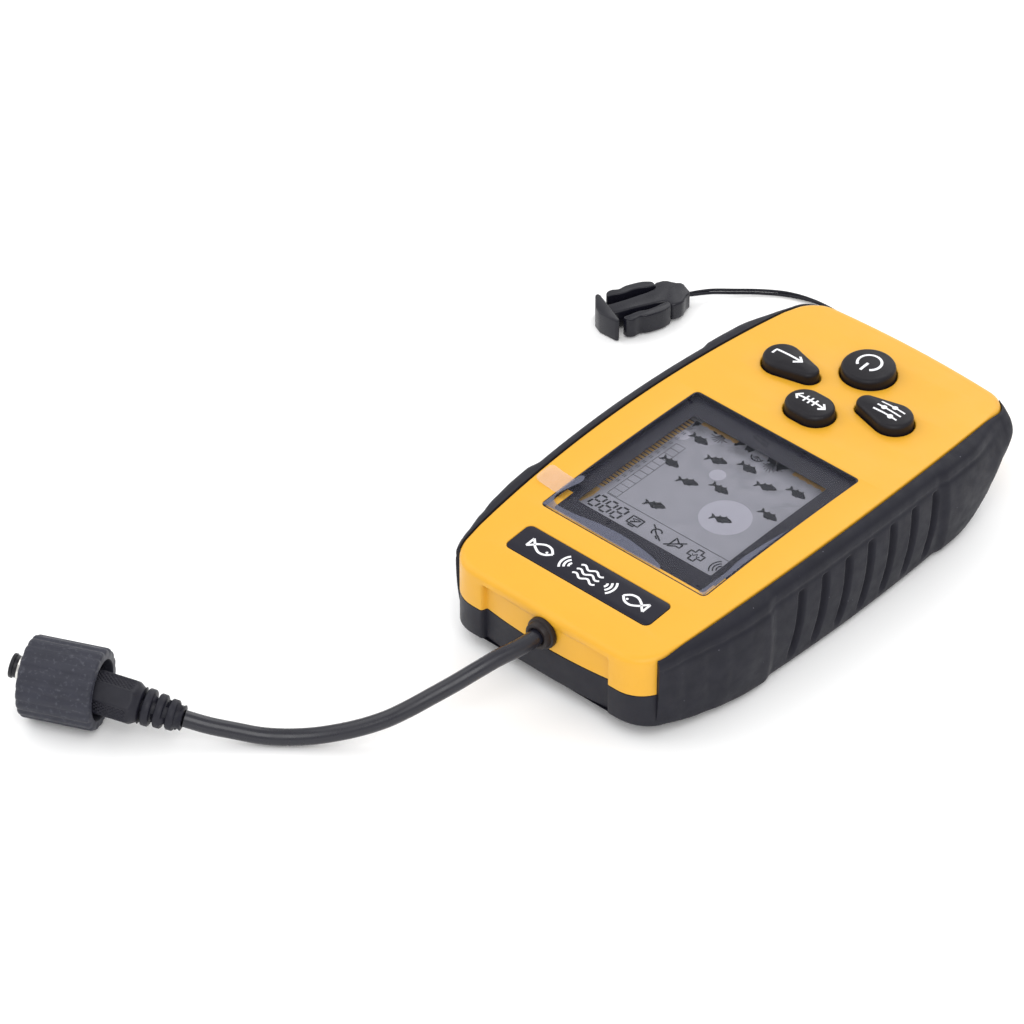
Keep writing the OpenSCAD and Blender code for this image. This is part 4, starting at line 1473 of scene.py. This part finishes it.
    def icons(self, art: Artwork) -> None:
        """Battery, plug, speaker, key pad and sonar signs.

        Args:
            art: The drawing that they are added to.
        """
        y = self.row_y
        width = 0.38
        art.stroke([(4.5, y - 1.2), (7.7, y - 1.2), (7.7, y + 1.3), (4.5, y + 1.3), (4.5, y - 1.2)], width)
        art.stroke([(5.4, y + 1.3), (5.4, y + 1.85), (6.8, y + 1.85), (6.8, y + 1.3)], width)
        art.stroke([(5.1, y - 0.7), (6.9, y + 0.9)], width)
        art.stroke([(5.6, y - 0.75), (7.2, y - 0.4), (6.1, y + 0.2), (7.1, y + 0.7)], 0.22)
        art.ring((0.2, y - 0.2), 1.15, 200, 420, width)
        art.stroke([(-0.6, y + 0.7), (1.2, y - 0.8)], width)
        art.stroke([(-2.2, y + 1.6), (-0.6, y + 0.5)], width)
        art.stroke([(1.1, y - 1.0), (2.4, y - 1.9)], width)
        art.stroke([(-1.2, y + 1.5), (-0.3, y + 0.9)], width)
        art.stroke([(-6.9, y - 0.6), (-5.8, y - 0.6), (-4.4, y - 1.7), (-4.4, y + 1.7), (-5.8, y + 0.6),
                    (-6.9, y + 0.6), (-6.9, y - 0.6)], width)
        art.stroke([(-7.3, y - 1.7), (-3.4, y + 1.8)], width)
        a, b = 0.75, 1.95
        cross = [(a, b), (-a, b), (-a, a), (-b, a), (-b, -a), (-a, -a), (-a, -b), (a, -b), (a, -a), (b, -a),
                 (b, a), (a, a), (a, b)]
        art.stroke([(-11.2 + px, y + py) for px, py in cross], width)
        art.stroke([(-12.2, y), (-11.7, y + 0.5), (-11.2, y - 0.5), (-10.7, y + 0.5), (-10.2, y)], 0.22)
        for k in range(3):
            art.ring((-18.6, y), 1.3 + 0.8 * k, -48, 48, 0.32)


@dataclass
class Window:
    """Clear window, its black border and the protective film that is peeling off it."""

    form: CaseForm
    centre_y: float = 11.5
    width: float = 46.4
    length: float = 51.4
    tab: tuple[float, float, float, float] = (23.0, 29.8, 26.6, 32.6)

    def sheet(self, name: str, outline: Sequence[Point2], lift: Height, finish: Finish) -> bpy.types.Object:
        """A thin sheet over the window.

        Args:
            name: Name of the piece.
            outline: Its outline seen from above.
            lift: How far it stands above the face.
            finish: Its finish.

        Returns:
            The piece.
        """
        piece = Bench.prism(name, outline, 30, 30.06)
        Bench.slice_along_y(piece, -16, 38, 1.5)
        Bench.edit(piece)
        for k in range(-8, 11):
            bpy.ops.mesh.select_all(action="SELECT")
            bpy.ops.mesh.bisect(plane_co=(3 * k * MM, 0, 0), plane_no=(1, 0, 0))
        bpy.ops.object.mode_set(mode="OBJECT")
        Bench.reshape(piece, lambda x, y, z: (x, y, self.form.face_z(y) + lift(x, y) + z - 30))
        return Bench.dress(piece, finish, "film_clear", angle=60)

    def glass(self) -> None:
        """The clear window and the black rim that hides the edge of its recess."""
        lens = Bench.prism("window_glass", rounded_rect((0, self.centre_y), 46.3, 51.3, 1.0), -1.35, -0.1)
        rim = Bench.prism("window_rim", rounded_rect((0, self.centre_y), 46.96, 51.96, 1.2), -1.4, -0.12)
        inner = Bench.prism("inner", rounded_rect((0, self.centre_y), 46.4, 51.4, 1.05), -3, 3)
        Bench.combine(rim, [inner])
        border = Bench.prism("window_border", rounded_rect((0, self.centre_y), 46.96, 51.96, 1.2),
                             -1.44, -1.37)
        Bench.combine(border, [Bench.prism("view", rounded_rect((0, 10.95), 38.2, 38.7, 0.5), -3, 3)])
        # The rim and the border take the black print whose colour carries a painted reflection of the glass.
        for piece, finish, slot in ((lens, CLEAR, "window_clear"), (rim, MASK_WITH_PAINTED_REFLECTION, "mask_black"),
                                    (border, MASK_WITH_PAINTED_REFLECTION, "mask_black")):
            Bench.slice_along_y(piece, -15, 38, 2)
            Bench.reshape(piece, lambda x, y, z: (x, y, z + self.form.face_z(y)))
            Bench.dress(piece, finish, slot)
        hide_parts("window_lens")
        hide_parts("window_mask")

    def build(self) -> None:
        """Builds the window, its film, the film's tab and its lifted edges."""
        self.glass()
        hw, low, high = self.width / 2, self.centre_y - self.length / 2, self.centre_y + self.length / 2
        x0, x1, y0, y1 = self.tab
        film = self.sheet("screen_film_sheet", [(hw, low), (hw, high), (-hw, high), (-hw, low)],
                          lambda x, y: 0.02, FILM)
        tab = [(x0, y0), *arc((x1 - 1.2, y0 + 1.2), 1.2, -90, 0, 4),
               *arc((x1 - 1.6, y1 - 1.6), 1.6, 0, 90, 4), (x0, y1)]
        self.sheet("screen_film_tab", tab,
                   lambda x, y: 0.04 + 0.7 * ease((x - x0) / (x1 - x0)) ** 2, FILM_TAB)
        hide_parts("screen_film")
        lead = [(x, high - 0.1) for x in (-10.6, -4, 2, 8, 14, 20)] + [(hw - 0.1, high - 0.1)]
        lead_low = [(hw - 0.1, 25.4), (hw - 1.0, 24.6), (hw - 1.9, 26.2), (hw - 0.9, 30.5), (22.6, 33.6),
                    (20.6, 35.4), (15.5, 35.3), (9.5, 34.3), (3.5, 33.9), (-2.0, 34.3),
                    (-7.0, 35.2), (-9.6, 35.9)]
        self.sheet("screen_film_lift_lead", self.closed(lead[::-1], lead_low), lambda x, y: 0.1, FILM_LIFT)
        outer = [(-hw + 0.1, 9.5), (-hw + 0.1, 18), (-hw + 0.1, 27), (-hw + 0.1, high - 0.1),
                 (-hw + 1.7, high - 0.1)]
        inner = [(-hw + 1.5, 34.6), (-hw + 1.2, 29.0), (-hw + 1.6, 23.5), (-hw + 1.1, 17.0),
                 (-hw + 0.5, 12.5)]
        self.sheet("screen_film_lift_side", self.closed(outer[::-1], inner[::-1])[::-1],
                   lambda x, y: 0.1, FILM_LIFT)

    @staticmethod
    def closed(edge: list[Point2], curve: list[Point2]) -> list[Point2]:
        """Joins a straight-edged run and a soft curve into one outline.

        Args:
            edge: The straight-edged run.
            curve: Points of the soft curve.

        Returns:
            The outline.
        """
        soft = [(p.x, p.y) for p in curve_through(curve, 4)]
        near = math.dist(edge[-1], soft[0]) < math.dist(edge[-1], soft[-1])
        return [*edge, *(soft if near else soft[::-1])]


@dataclass
class NamePlate:
    """Black plate in the lead end of the face, with plain fishing signs on it."""

    form: CaseForm
    centre_x: float = 0.4
    centre_y: float = 47.9
    width: float = 40.8
    length: float = 8.4
    radius: float = 1.45
    thickness: float = 0.8

    def build(self) -> None:
        """Builds the plate and its signs."""
        outline = rounded_rect((self.centre_x, self.centre_y), self.width, self.length, self.radius)
        plate = Bench.prism("name_plate_panel", outline, -self.thickness, -0.05)
        Bench.bevel(plate, 0.12, 2)
        Bench.slice_along_y(plate, 44, 53, 1.5)
        Bench.reshape(plate, lambda x, y, z: (x, y, z + self.form.face_z(y)))
        Bench.dress(plate, PLATE, "plate_black", stands_for=["name_plate"])
        art = self.signs()
        art.move(self.centre_x, 0.0)
        signs = art.print_on("name_plate_signs", lambda x, y: self.form.face_z(y) - 0.05, 0.04)
        Bench.dress(signs, LEGEND, "light_white")

    def signs(self) -> Artwork:
        """A row of fish, sonar arcs and waves.

        Returns:
            The drawing.
        """
        art = Artwork()
        y = self.centre_y
        width = 0.55
        for x, flip in ((13.2, 1), (-13.2, -1)):
            body = [(x + flip * p, y + q) for p, q in
                    ((-3.1, 0.0), (-1.8, 1.15), (-0.2, 1.4), (1.2, 0.75), (2.2, 0.0))]
            under = [(px, 2 * y - py) for px, py in body]
            art.stroke(curve_through(body, 6), width)
            art.stroke(curve_through(under, 6), width)
            art.stroke([(x + flip * 2.0, y), (x + flip * 3.4, y + 1.3)], width)
            art.stroke([(x + flip * 2.0, y), (x + flip * 3.4, y - 1.3)], width)
            art.stroke([(x + flip * 3.4, y + 1.3), (x + flip * 3.4, y - 1.3)], width)
            art.fill(arc((x - flip * 1.7, y + 0.35), 0.32, 0, 330, 11))
        for flip in (1, -1):
            for k in range(3):
                middle = 0 if flip > 0 else 180
                art.ring((flip * 4.4, y), 0.9 + 1.05 * k, middle - 42, middle + 42, width)
        for lift in (-1.5, 0.0, 1.5):
            wave = [(-3.2 + 0.4 * k, y + lift + 0.42 * math.sin(math.pi * k / 4)) for k in range(17)]
            art.stroke(wave, width * 0.9)
        return art


# ---- Keys ----


@dataclass
class Keys:
    """Four rubber keys with domed crowns and white signs."""

    form: CaseForm
    shift: float = 0.4
    power_y: float = -46.0
    power_r: float = 6.2
    unit_y: float = -25.7
    unit_r: float = 4.5
    unit_half: float = 1.45
    drop_y: float = -35.3
    drop_x: float = 16.0
    drop_r: float = 4.5
    tip_r: float = 2.5
    tip_x: float = 8.5
    proud: float = 3.0
    foot_z: float = 19.2
    edge: float = 1.05
    dome: float = 0.45

    def shapes(self) -> list[KeyShape]:
        """Outline and place of each key.

        Returns:
            The four keys.
        """
        power = arc((0, self.power_y), self.power_r, 0, 355, 71)
        unit = (arc((self.unit_half, self.unit_y), self.unit_r, -90, 90, 30)
                + arc((-self.unit_half, self.unit_y), self.unit_r, 90, 270, 30))
        span = self.drop_x - self.tip_x
        a = math.degrees(math.acos((self.drop_r - self.tip_r) / span))
        drop = (arc((self.drop_x, self.drop_y), self.drop_r, a - 180, 180 - a, 40)
                + arc((self.tip_x, self.drop_y), self.tip_r, 180 - a, 180 + a, 20))
        mirrored = [(-x, y) for x, y in reversed(drop)]
        middle = (self.drop_x + self.tip_x) / 2 + 0.8
        plans = (("key_power", 0.0, self.power_y, power), ("key_unit", 0.0, self.unit_y, unit),
                 ("key_enter", middle, self.drop_y, drop), ("key_setup", -middle, self.drop_y, mirrored))
        return [KeyShape(name, (x + self.shift, y), [(px + self.shift, py) for px, py in outline])
                for name, x, y, outline in plans]

    def build(self) -> None:
        """Builds the keys and their signs."""
        signs = {"key_power": self.power_sign(), "key_unit": self.unit_sign(),
                 "key_enter": self.enter_sign(), "key_setup": self.setup_sign()}
        for shape in self.shapes():
            cap = self.cap(shape)
            Bench.dress(cap, KEY_RUBBER, "key_rubber", shape.name, [shape.name])
            signs[shape.name].move(self.shift, 0.0)
            sign = signs[shape.name].print_on(f"{shape.name}_sign", surface_height(cap), 0.03)
            Bench.dress(sign, LEGEND, "light_white", shape.name)

    def cap(self, shape: KeyShape) -> bpy.types.Object:
        """One key: lip, stem, rounded shoulder and dome.

        Args:
            shape: The key.

        Returns:
            The piece.
        """
        top = self.form.face_z(shape.centre[1]) + self.proud - self.dome
        levels = [(self.foot_z, 0.7), (self.foot_z + 1.2, 0.7), (self.foot_z + 1.4, 0.0),
                  (top - self.edge, 0.0)]
        for k in range(1, 7):
            a = math.radians(90 * k / 6)
            levels.append((top - self.edge * (1 - math.sin(a)), -self.edge * (1 - math.cos(a))))
        rings = [[(x, y, z) for x, y in grown(shape.outline, g)] for z, g in levels]
        rim = rings[-1]
        cx, cy = shape.centre
        for k in range(1, 9):
            s = 1 - k / 8.02
            rings.append([(cx + (x - cx) * s, cy + (y - cy) * s, top + self.dome * (1 - s * s))
                          for x, y, _ in rim])
        return Bench.skin(f"{shape.name}_cap", rings)

    def power_sign(self) -> Artwork:
        """The common on-off sign: a broken ring with a bar.

        Returns:
            The drawing.
        """
        art = Artwork()
        art.ring((0, self.power_y - 0.3), 2.75, 90 + 38, 90 + 322, 0.62)
        art.stroke([(0, self.power_y + 0.2), (0, self.power_y + 3.0)], 0.66)
        return art

    def unit_sign(self) -> Artwork:
        """A measuring rule: a bar with ticks and an arrow at each end.

        Returns:
            The drawing.
        """
        art = Artwork()
        y = self.unit_y - 0.2
        art.stroke([(-4.0, y), (4.0, y)], 0.5)
        for s in (-1, 1):
            art.stroke([(s * 2.9, y + 1.15), (s * 4.1, y), (s * 2.9, y - 1.15)], 0.5)
        for k in range(-1, 2):
            art.stroke([(k * 1.3, y - 1.15), (k * 1.3, y + 1.15)], 0.45)
        return art

    def enter_sign(self) -> Artwork:
        """A tick with a return arrow.

        Returns:
            The drawing.
        """
        art = Artwork()
        x, y = self.drop_x - 2.0, self.drop_y - 0.1
        art.stroke([(x + 4.0, y + 1.3), (x + 4.0, y - 0.3), (x - 3.0, y - 0.3)], 0.55)
        art.stroke([(x - 1.7, y + 1.0), (x - 3.3, y - 0.3), (x - 1.7, y - 1.6)], 0.55)
        return art

    def setup_sign(self) -> Artwork:
        """Three sliders, as on a settings panel.

        Returns:
            The drawing.
        """
        art = Artwork()
        x, y = -self.drop_x + 1.5, self.drop_y - 0.1
        for lift, knob in ((1.5, -1.6), (0.0, 1.3), (-1.5, -0.6)):
            art.stroke([(x - 3.4, y + lift), (x + 3.2, y + lift)], 0.42)
            art.fill(arc((x + knob, y + lift), 0.68, 0, 330, 11))
        return art


# ---- Lead, plug and nut ----


@dataclass
class Lead:
    """Gland, lead, moulded plug with its barrel, and the loose coupling nut."""

    route: tuple[Point3, ...] = (
        (0, 63.6, 17.2), (0.6, 69, 16.8), (2.2, 74.4, 16.2), (3.8, 79.4, 15), (5.8, 84.2, 13.2),
        (8.2, 88.8, 11.2), (10.8, 93.2, 9), (13.8, 97.2, 6.8), (17.4, 101.2, 5), (21.2, 104.8, 3.6),
        (25.2, 108.4, 2.6), (29.4, 112, 2.2), (33.6, 115.4, 2.4), (38, 118.8, 3.4), (42.2, 122.2, 4.6),
        (46.6, 125.1, 5.9))
    lead_d: float = 3.8
    outlet_y: float = 62.5
    outlet_z: float = 17.2
    nut_rear: Point3 = (63.2, 132.8, 9.15)
    nut_turn: float = 25.0
    droop: float = 7.7
    cross: float = 6.0
    nut_r: float = 9.15
    nut_l: float = 16.8
    groove_n: int = 20

    def build(self) -> None:
        pieces = [self.gland(), self.plug(), self.barrel(), self.insulator(), self.seal_ring(), self.nut()]
        self.cord(pieces)

    def plug_frame(self) -> Matrix:
        """Frame whose Z runs along the plug, from where its axis crosses the nut's.

        Returns:
            The frame.
        """
        turn = math.radians(self.nut_turn)
        at = Vector(self.nut_rear) + self.cross * Vector((math.cos(turn), math.sin(turn), 0))
        return (Matrix.Translation(at) @ Matrix.Rotation(turn, 4, "Z")
                @ Matrix.Rotation(math.radians(90 - self.droop), 4, "Y"))

    def nut_frame(self) -> Matrix:
        """Frame whose Z runs along the nut, from its back face."""
        return (Matrix.Translation(Vector(self.nut_rear))
                @ Matrix.Rotation(math.radians(self.nut_turn), 4, "Z")
                @ Matrix.Rotation(math.radians(90), 4, "Y"))

    def gland(self) -> bpy.types.Object:
        """The ring that the lead comes out of, with a rounded, recessed mouth.

        Returns:
            The piece.
        """
        r = self.lead_d / 2
        profile = [(r + 0.02, -7.5), (3.1, -7.5), (3.1, -0.2), (3.3, -0.12), (3.62, -0.1), (3.75, 0.1),
                   (3.75, 0.9), (3.66, 1.15), (3.45, 1.3), (3.3, 1.35), (3.1, 2.3),
                   (2.98, 2.48), (2.7, 2.55), (2.3, 2.5),
                   (2.1, 2.3), (r + 0.02, 2.2)]
        gland = Turned.body("cable_gland_ring", profile, 64)
        Bench.place(gland, Matrix.Translation((0, self.outlet_y, self.outlet_z))
                    @ Matrix.Rotation(math.radians(-90), 4, "X"))
        return Bench.dress(gland, GLAND, "gland_black", stands_for=["cable_gland"])

    def cord(self, with_pieces: list[bpy.types.Object]) -> None:
        """The lead itself, as one smooth curve.

        Args:
            with_pieces: Rigid pieces at its ends.
        """
        points = curve_through([(0, 58, self.outlet_z), *self.route], 6)[6:]
        inside = Vector((0, 61.2, self.outlet_z))
        line = [inside, *points]
        data = bpy.data.curves.new("lead_cable", "CURVE")
        data.dimensions = "3D"
        data.bevel_depth = self.lead_d / 2 * MM
        data.bevel_resolution = 6
        data.use_fill_caps = True
        spline = data.splines.new("POLY")
        spline.points.add(len(line) - 1)
        for node, p in zip(spline.points, line):
            node.co = (*(p * MM), 1)
        spline.use_smooth = True
        lead = bpy.data.objects.new("lead_cable", data)
        bpy.context.scene.collection.objects.link(lead)
        Bench.dress(lead, LEAD, "lead_black", stands_for=["transducer_lead"])
        round(run_length(line) * MM, 4)
        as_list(with_pieces)

    def plug_radius(self, a: float, r: float, z: float) -> float:
        """Radius of the moulded plug: knurled flats in front, slotted ribs behind.

        Args:
            a: Angle round the axis.
            r: Radius of the plain profile.
            z: Place along the axis.

        Returns:
            The radius.
        """
        if z > -15.0 and r < 6:
            sector = math.pi / 4
            off = (a + sector / 2) % sector - sector / 2
            flat = r * math.cos(sector / 2) / math.cos(off)
            index = round(a / sector) % 8
            fade = ease((z + 14.2) / 1.6)
            soft = flat + (r * 0.93 - flat) * (1 - fade)
            if index % 2 == 0:
                across = off * r
                edge = ease((1.65 - abs(across)) / 0.25) * ease((z + 12.9) / 0.8)
                u, v = (across + z) / 1.0, (across - z) / 1.0
                bump = min(abs((u % 1) - 0.5), abs((v % 1) - 0.5))
                return soft - 0.28 * edge + 0.62 * edge * bump
            return soft
        if -23.6 < z < -15.4 and r < 2.8:
            bridge = abs(math.sin(a * 1.0 + (0 if int((-z - 15.0) / 2.7) % 2 else math.pi / 2)))
            return r + 0.75 * ease((bridge - 0.93) / 0.04)
        return r

    def plug(self) -> bpy.types.Object:
        """The moulded plug body, from its strain relief to its neck.

        Returns:
            The piece.
        """
        profile: list[Point2] = [(1.92, -24.4), (2.5, -24.4), (2.85, -24.25)]
        for k in (2, 1, 0):
            low, r = -17.4 - 2.7 * k, 4.1 - 0.35 * k
            profile += [(2.6, low - 0.95), (2.6, low - 0.3), (2.75, low - 0.02), (r - 0.25, low),
                        (r, low + 0.25),
                        (r + 0.04, low + 1.45), (r - 0.2, low + 1.7), (2.75, low + 1.72)]
        profile += [(2.6, -15.5), (2.6, -15.2), (4.0, -15.05)]
        profile += [(4.1 + (5.1 - 4.1) * ease(k / 10), -15.0 + 2.0 * k / 10) for k in range(11)]
        profile += [(5.1, -13 + 13 * k / 90) for k in range(1, 91)]
        profile += [(5.2, 0.0), (7.0, 0.0), (7.1, 0.15), (7.1, 1.45), (7.0, 1.6), (3.6, 1.6), (3.6, 4.2),
                    (0.6, 4.2), (0.6, 0.0), (1.92, -20.0)]
        body = Turned.body("plug_moulding", profile, 208, self.plug_radius)
        Bench.place(body, self.plug_frame())
        return Bench.dress(body, PLUG, "plug_black", stands_for=["plug_body"], angle=50)

    def barrel(self) -> bpy.types.Object:
        """The nickel barrel, with a rolled tip.

        Returns:
            The piece.
        """
        profile = [(1.9, 4.2), (2.75, 4.2), (2.75, 12.65), (2.68, 12.88), (2.5, 13.0), (1.9, 13.0)]
        barrel = Turned.body("plug_barrel_tube", profile, 64)
        Bench.place(barrel, self.plug_frame())
        return Bench.dress(barrel, NICKEL, "barrel_nickel", stands_for=["plug_barrel"])

    def insulator(self) -> bpy.types.Object:
        """The black insulated tip with the socket for the centre pin.

        Returns:
            The piece.
        """
        profile = [(0.0, 5.3), (1.05, 5.3), (1.05, 14.4), (1.25, 14.7), (2.45, 14.7), (2.68, 14.6),
                   (2.75, 14.4), (2.75, 13.9), (2.5, 13.8), (2.5, 13.3), (2.4, 13.0), (1.85, 13.0),
                   (1.85, 4.2), (0.0, 4.2)]
        tip = Turned.body("plug_insulated_tip", profile, 64)
        Bench.place(tip, self.plug_frame())
        return Bench.dress(tip, INSULATOR, "insulator_black", stands_for=["plug_insulator"])

    def seal_ring(self) -> bpy.types.Object:
        """The soft ring that seals the plug.

        Returns:
            The piece.
        """
        profile = [(4.2 + 0.6 * math.cos(a), 2.3 + 0.7 * math.sin(a))
                   for a in (2 * math.pi * k / 16 for k in range(16))]
        ring = Turned.body("plug_o_ring", profile, 48)
        Bench.place(ring, self.plug_frame())
        return Bench.dress(ring, RING_RED, "ring_red", stands_for=["plug_seal_ring"])

    def nut_radius(self, a: float, r: float, z: float) -> float:
        """Radius of the nut: soft ribs outside, a thread inside.

        Args:
            a: Angle round the axis.
            r: Radius of the plain profile.
            z: Place along the axis.

        Returns:
            The radius.
        """
        if r > 8.3:
            step = 2 * math.pi / self.groove_n
            off = ((a + step / 2) % step - step / 2) * r
            return r - 0.42 * math.exp(-(off / 0.62) ** 2) - 0.08 * abs(off)
        if 7.3 < r < 8 and 4.0 < z < 15.6:
            return r + 0.3 - 1.2 * abs(((z / 1.5 - a / (2 * math.pi)) % 1) - 0.5) * 0.5
        return r

    def nut(self) -> bpy.types.Object:
        """The loose coupling nut.

        Returns:
            The piece.
        """
        r, l = self.nut_r, self.nut_l
        profile = [(6.6, 0.3), (6.8, 0.0), (8.35, 0.0), (8.75, 0.12), (9.02, 0.4), (r, 0.8)]
        profile += [(r, 0.8 + (l - 1.6) * k / 24) for k in range(1, 25)]
        profile += [(9.02, l - 0.4), (8.75, l - 0.12), (8.35, l), (7.85, l), (7.65, l - 0.3)]
        profile += [(7.6, l - 0.8 - (l - 4.3) * k / 60) for k in range(61)]
        profile += [(7.6, 3.2), (7.4, 3.0), (6.6, 3.0)]
        nut = Turned.body("coupling_nut_body", profile, 240, self.nut_radius)
        Bench.place(nut, self.nut_frame())
        return Bench.dress(nut, NUT, "nut_nylon", "coupling_nut", ["coupling_nut"], angle=40)


# ---- Lanyard ----


@dataclass
class Lanyard:
    """Doubled thin cord from the bar in the stern to a small snap clip."""

    route: tuple[Point3, ...] = (
        (13.5, -54.8, 8.4), (13.5, -58, 8.3), (13.9, -62.5, 7), (15.4, -67, 4.2), (18, -71.2, 1.8),
        (22, -75, 0.9), (27.6, -78.4, 0.8), (34, -80.8, 0.8), (40, -82, 0.8), (46, -81.4, 0.8),
        (51.6, -79.4, 0.8), (56.6, -75.9, 0.9), (60.8, -71.6, 1.3), (64.3, -66.8, 2.2), (66.8, -61.6, 3))
    strand_d: float = 0.7
    sides: int = 10
    clip_at: Point3 = (71.2, -51.1, 0.0)
    clip_turn: float = 67.0
    arm: tuple[Point2, ...] = ((-4.9, 3.25), (-4.9, 4.8), (-3.8, 5.6), (-2.0, 6.15), (1.5, 6.25),
                               (3.4, 5.75),
                               (5.0, 6.2), (6.3, 5.9), (6.95, 5.0), (6.9, 4.25), (5.6, 4.1), (3.0, 3.7),
                               (1.0, 4.0), (-1.0, 3.9), (-3.2, 3.4))

    def build(self) -> None:
        self.cord(self.clip())

    def cord(self, with_pieces: list[bpy.types.Object]) -> None:
        """Two strands that lie side by side and part a little between their ends.

        Args:
            with_pieces: Rigid pieces at its far end.
        """
        line = curve_through(self.route, 5)
        total = len(line) - 1
        tubes = []
        for side in (-1, 1):
            rings = []
            for k, p in enumerate(line):
                a, b = line[max(k - 1, 0)], line[min(k + 1, total)]
                along = (b - a).normalized()
                flat = along.cross(Vector((0, 0, 1))).normalized()
                up = flat.cross(along)
                turn = 1.1 * math.sin(2 * math.pi * k / total * 1.5)
                beside = flat * math.cos(turn) + up * math.sin(turn)
                centre = p + beside * side * self.strand_d * 0.5
                rings.append([tuple(centre + self.strand_d / 2 * (flat * math.cos(t) + up * math.sin(t)))
                              for t in (2 * math.pi * j / self.sides for j in range(self.sides))])
            tubes.append(Bench.skin("lanyard_strand", rings))
        Bench.combine(tubes[0], [tubes[1]], "UNION")
        cord = tubes[0]
        cord.name = "lanyard_cord_strands"
        Bench.dress(cord, CORD, "cord_black", stands_for=["lanyard_cord"], angle=60)
        round(run_length(line) * MM, 4)
        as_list(with_pieces)

    def clip_frame(self) -> Matrix:
        """Frame whose X runs along the clip, away from the cord."""
        turn = Matrix.Rotation(math.radians(self.clip_turn), 4, "Z")
        return Matrix.Translation(Vector(self.clip_at)) @ turn

    def clip(self) -> list[bpy.types.Object]:
        """The clip's body and its two spring arms.

        Returns:
            The three pieces.
        """
        half = [(-11.3, 1.5), (-10.9, 2.3), (-10.0, 2.7), (-9.2, 3.4), (-8.4, 4.3), (-7.4, 4.75),
                (-5.6, 4.8),
                (-4.95, 4.3), (-4.6, 3.1), (-3.8, 2.6), (-2.0, 2.3), (3.0, 1.95), (8.8, 1.8)]
        outline = half + [(u, -v) for u, v in reversed(half)]
        body = Bench.prism("clip_frame", outline, 0.7, 5.3)
        Bench.bevel(body, 0.55, 3, 50)
        head_half = [(8.4, 5.0), (8.7, 5.7), (9.5, 5.6), (11.5, 1.2), (11.5, 0.0)]
        head = Bench.prism("head", head_half + [(u, -v) for u, v in reversed(head_half[:-1])], 0.05, 6.0)
        Bench.bevel(head, 0.4, 3, 35)
        Bench.combine(body, [head], "UNION")
        pieces = [(body, "handset", "clip_body")]
        for side, name in ((1, "clip_arm_left"), (-1, "clip_arm_right")):
            outline = [(p.x, p.y) for p in curve_through([*self.arm, self.arm[0]], 3)[:-1]]
            arm = Bench.prism(f"{name}_spring", [(u, side * v) for u, v in outline], 0.4, 5.6)
            Bench.bevel(arm, 0.45, 3, 50)
            pieces.append((arm, name, name))
        for piece, body_name, node in pieces:
            Bench.place(piece, self.clip_frame())
            Bench.dress(piece, CLIP, "clip_black", body_name, [node])
        return [piece for piece, _, _ in pieces]


# ---- Inner parts, studio and the whole ----


class InnerParts:
    """CAD nodes whose shape is right and that only need a finish."""

    @staticmethod
    def build() -> None:
        """Dresses every carried-over CAD node."""
        for name, finish in INNER.items():
            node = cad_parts[name]
            material = finish.build()
            for slot in node.material_slots:
                slot.material = material
            LOG.info("%s carried over in %s", name, finish.name)


class Lamp(Enum):
    """Soft boxes: (place in metres, size in metres, power in watts)."""

    KEY = ((-0.9, 0.9, 1.5), 1.4, 16.0)
    FILL = ((1.2, 0.5, 1.2), 1.6, 9.0)
    BACK = ((0.2, -1.3, 1.1), 1.4, 9.0)


@dataclass
class Studio:
    """Pale floor, soft lights and the camera."""

    eye: Point3 = (-716.2, 865.5, 931.4)
    target: Point3 = (46.12, 21.56, 0.0)
    lens: float = 232.45
    floor_half: float = 3.0
    sky: float = 0.82

    def camera(self) -> None:
        """Sets the camera."""
        data = bpy.data.cameras.new("camera")
        data.lens = self.lens
        data.sensor_width = 36.0
        data.clip_start, data.clip_end = 0.05, 50.0
        camera = bpy.data.objects.new("camera", data)
        bpy.context.scene.collection.objects.link(camera)
        eye, target = Vector(self.eye) * MM, Vector(self.target) * MM
        camera.location = eye
        camera.rotation_euler = (target - eye).to_track_quat("-Z", "Y").to_euler()
        bpy.context.scene.camera = camera

    def lights(self) -> None:
        """Sets a bright even sky and three soft boxes."""
        scene = bpy.context.scene
        scene.view_settings.view_transform = "Standard"
        world = bpy.data.worlds.new("sky")
        scene.world = world
        world.use_nodes = True
        world.node_tree.nodes["Background"].inputs["Color"].default_value = (1, 1, 1, 1)
        world.node_tree.nodes["Background"].inputs["Strength"].default_value = self.sky
        for lamp in Lamp:
            place, size, power = lamp.value
            data = bpy.data.lights.new(lamp.name.lower(), "AREA")
            data.shape = "SQUARE"
            data.size = size
            data.energy = power
            light = bpy.data.objects.new(lamp.name.lower(), data)
            light.location = place
            light.rotation_euler = (-Vector(place)).to_track_quat("-Z", "Y").to_euler()
            scene.collection.objects.link(light)

    def floor(self) -> None:
        """Lays the floor under everything."""
        bpy.ops.object.select_all(action="DESELECT")
        bpy.ops.mesh.primitive_plane_add(size=2 * self.floor_half, location=(0, 0, -0.05 * MM))
        floor = bpy.context.object
        floor.name = "floor"
        floor.data.materials.append(Finish("floor_white", (255, 255, 255), 0.9, 0.0, 50.0, 0.0).build())


def main() -> None:
    """Builds the studio, the cords and every sub-assembly in order."""
    logging.basicConfig(level=logging.INFO, format="%(message)s")
    studio = Studio()
    studio.camera()
    Lead().build()
    Lanyard().build()
    form = CaseForm()
    keys = Keys(form)
    Shells(form, keys.shapes()).build()
    Grips(form).build()
    Window(form).build()
    Screen().build()
    NamePlate(form).build()
    keys.build()
    InnerParts.build()
    studio.lights()
    studio.floor()


if __name__ == "__main__":
    main()
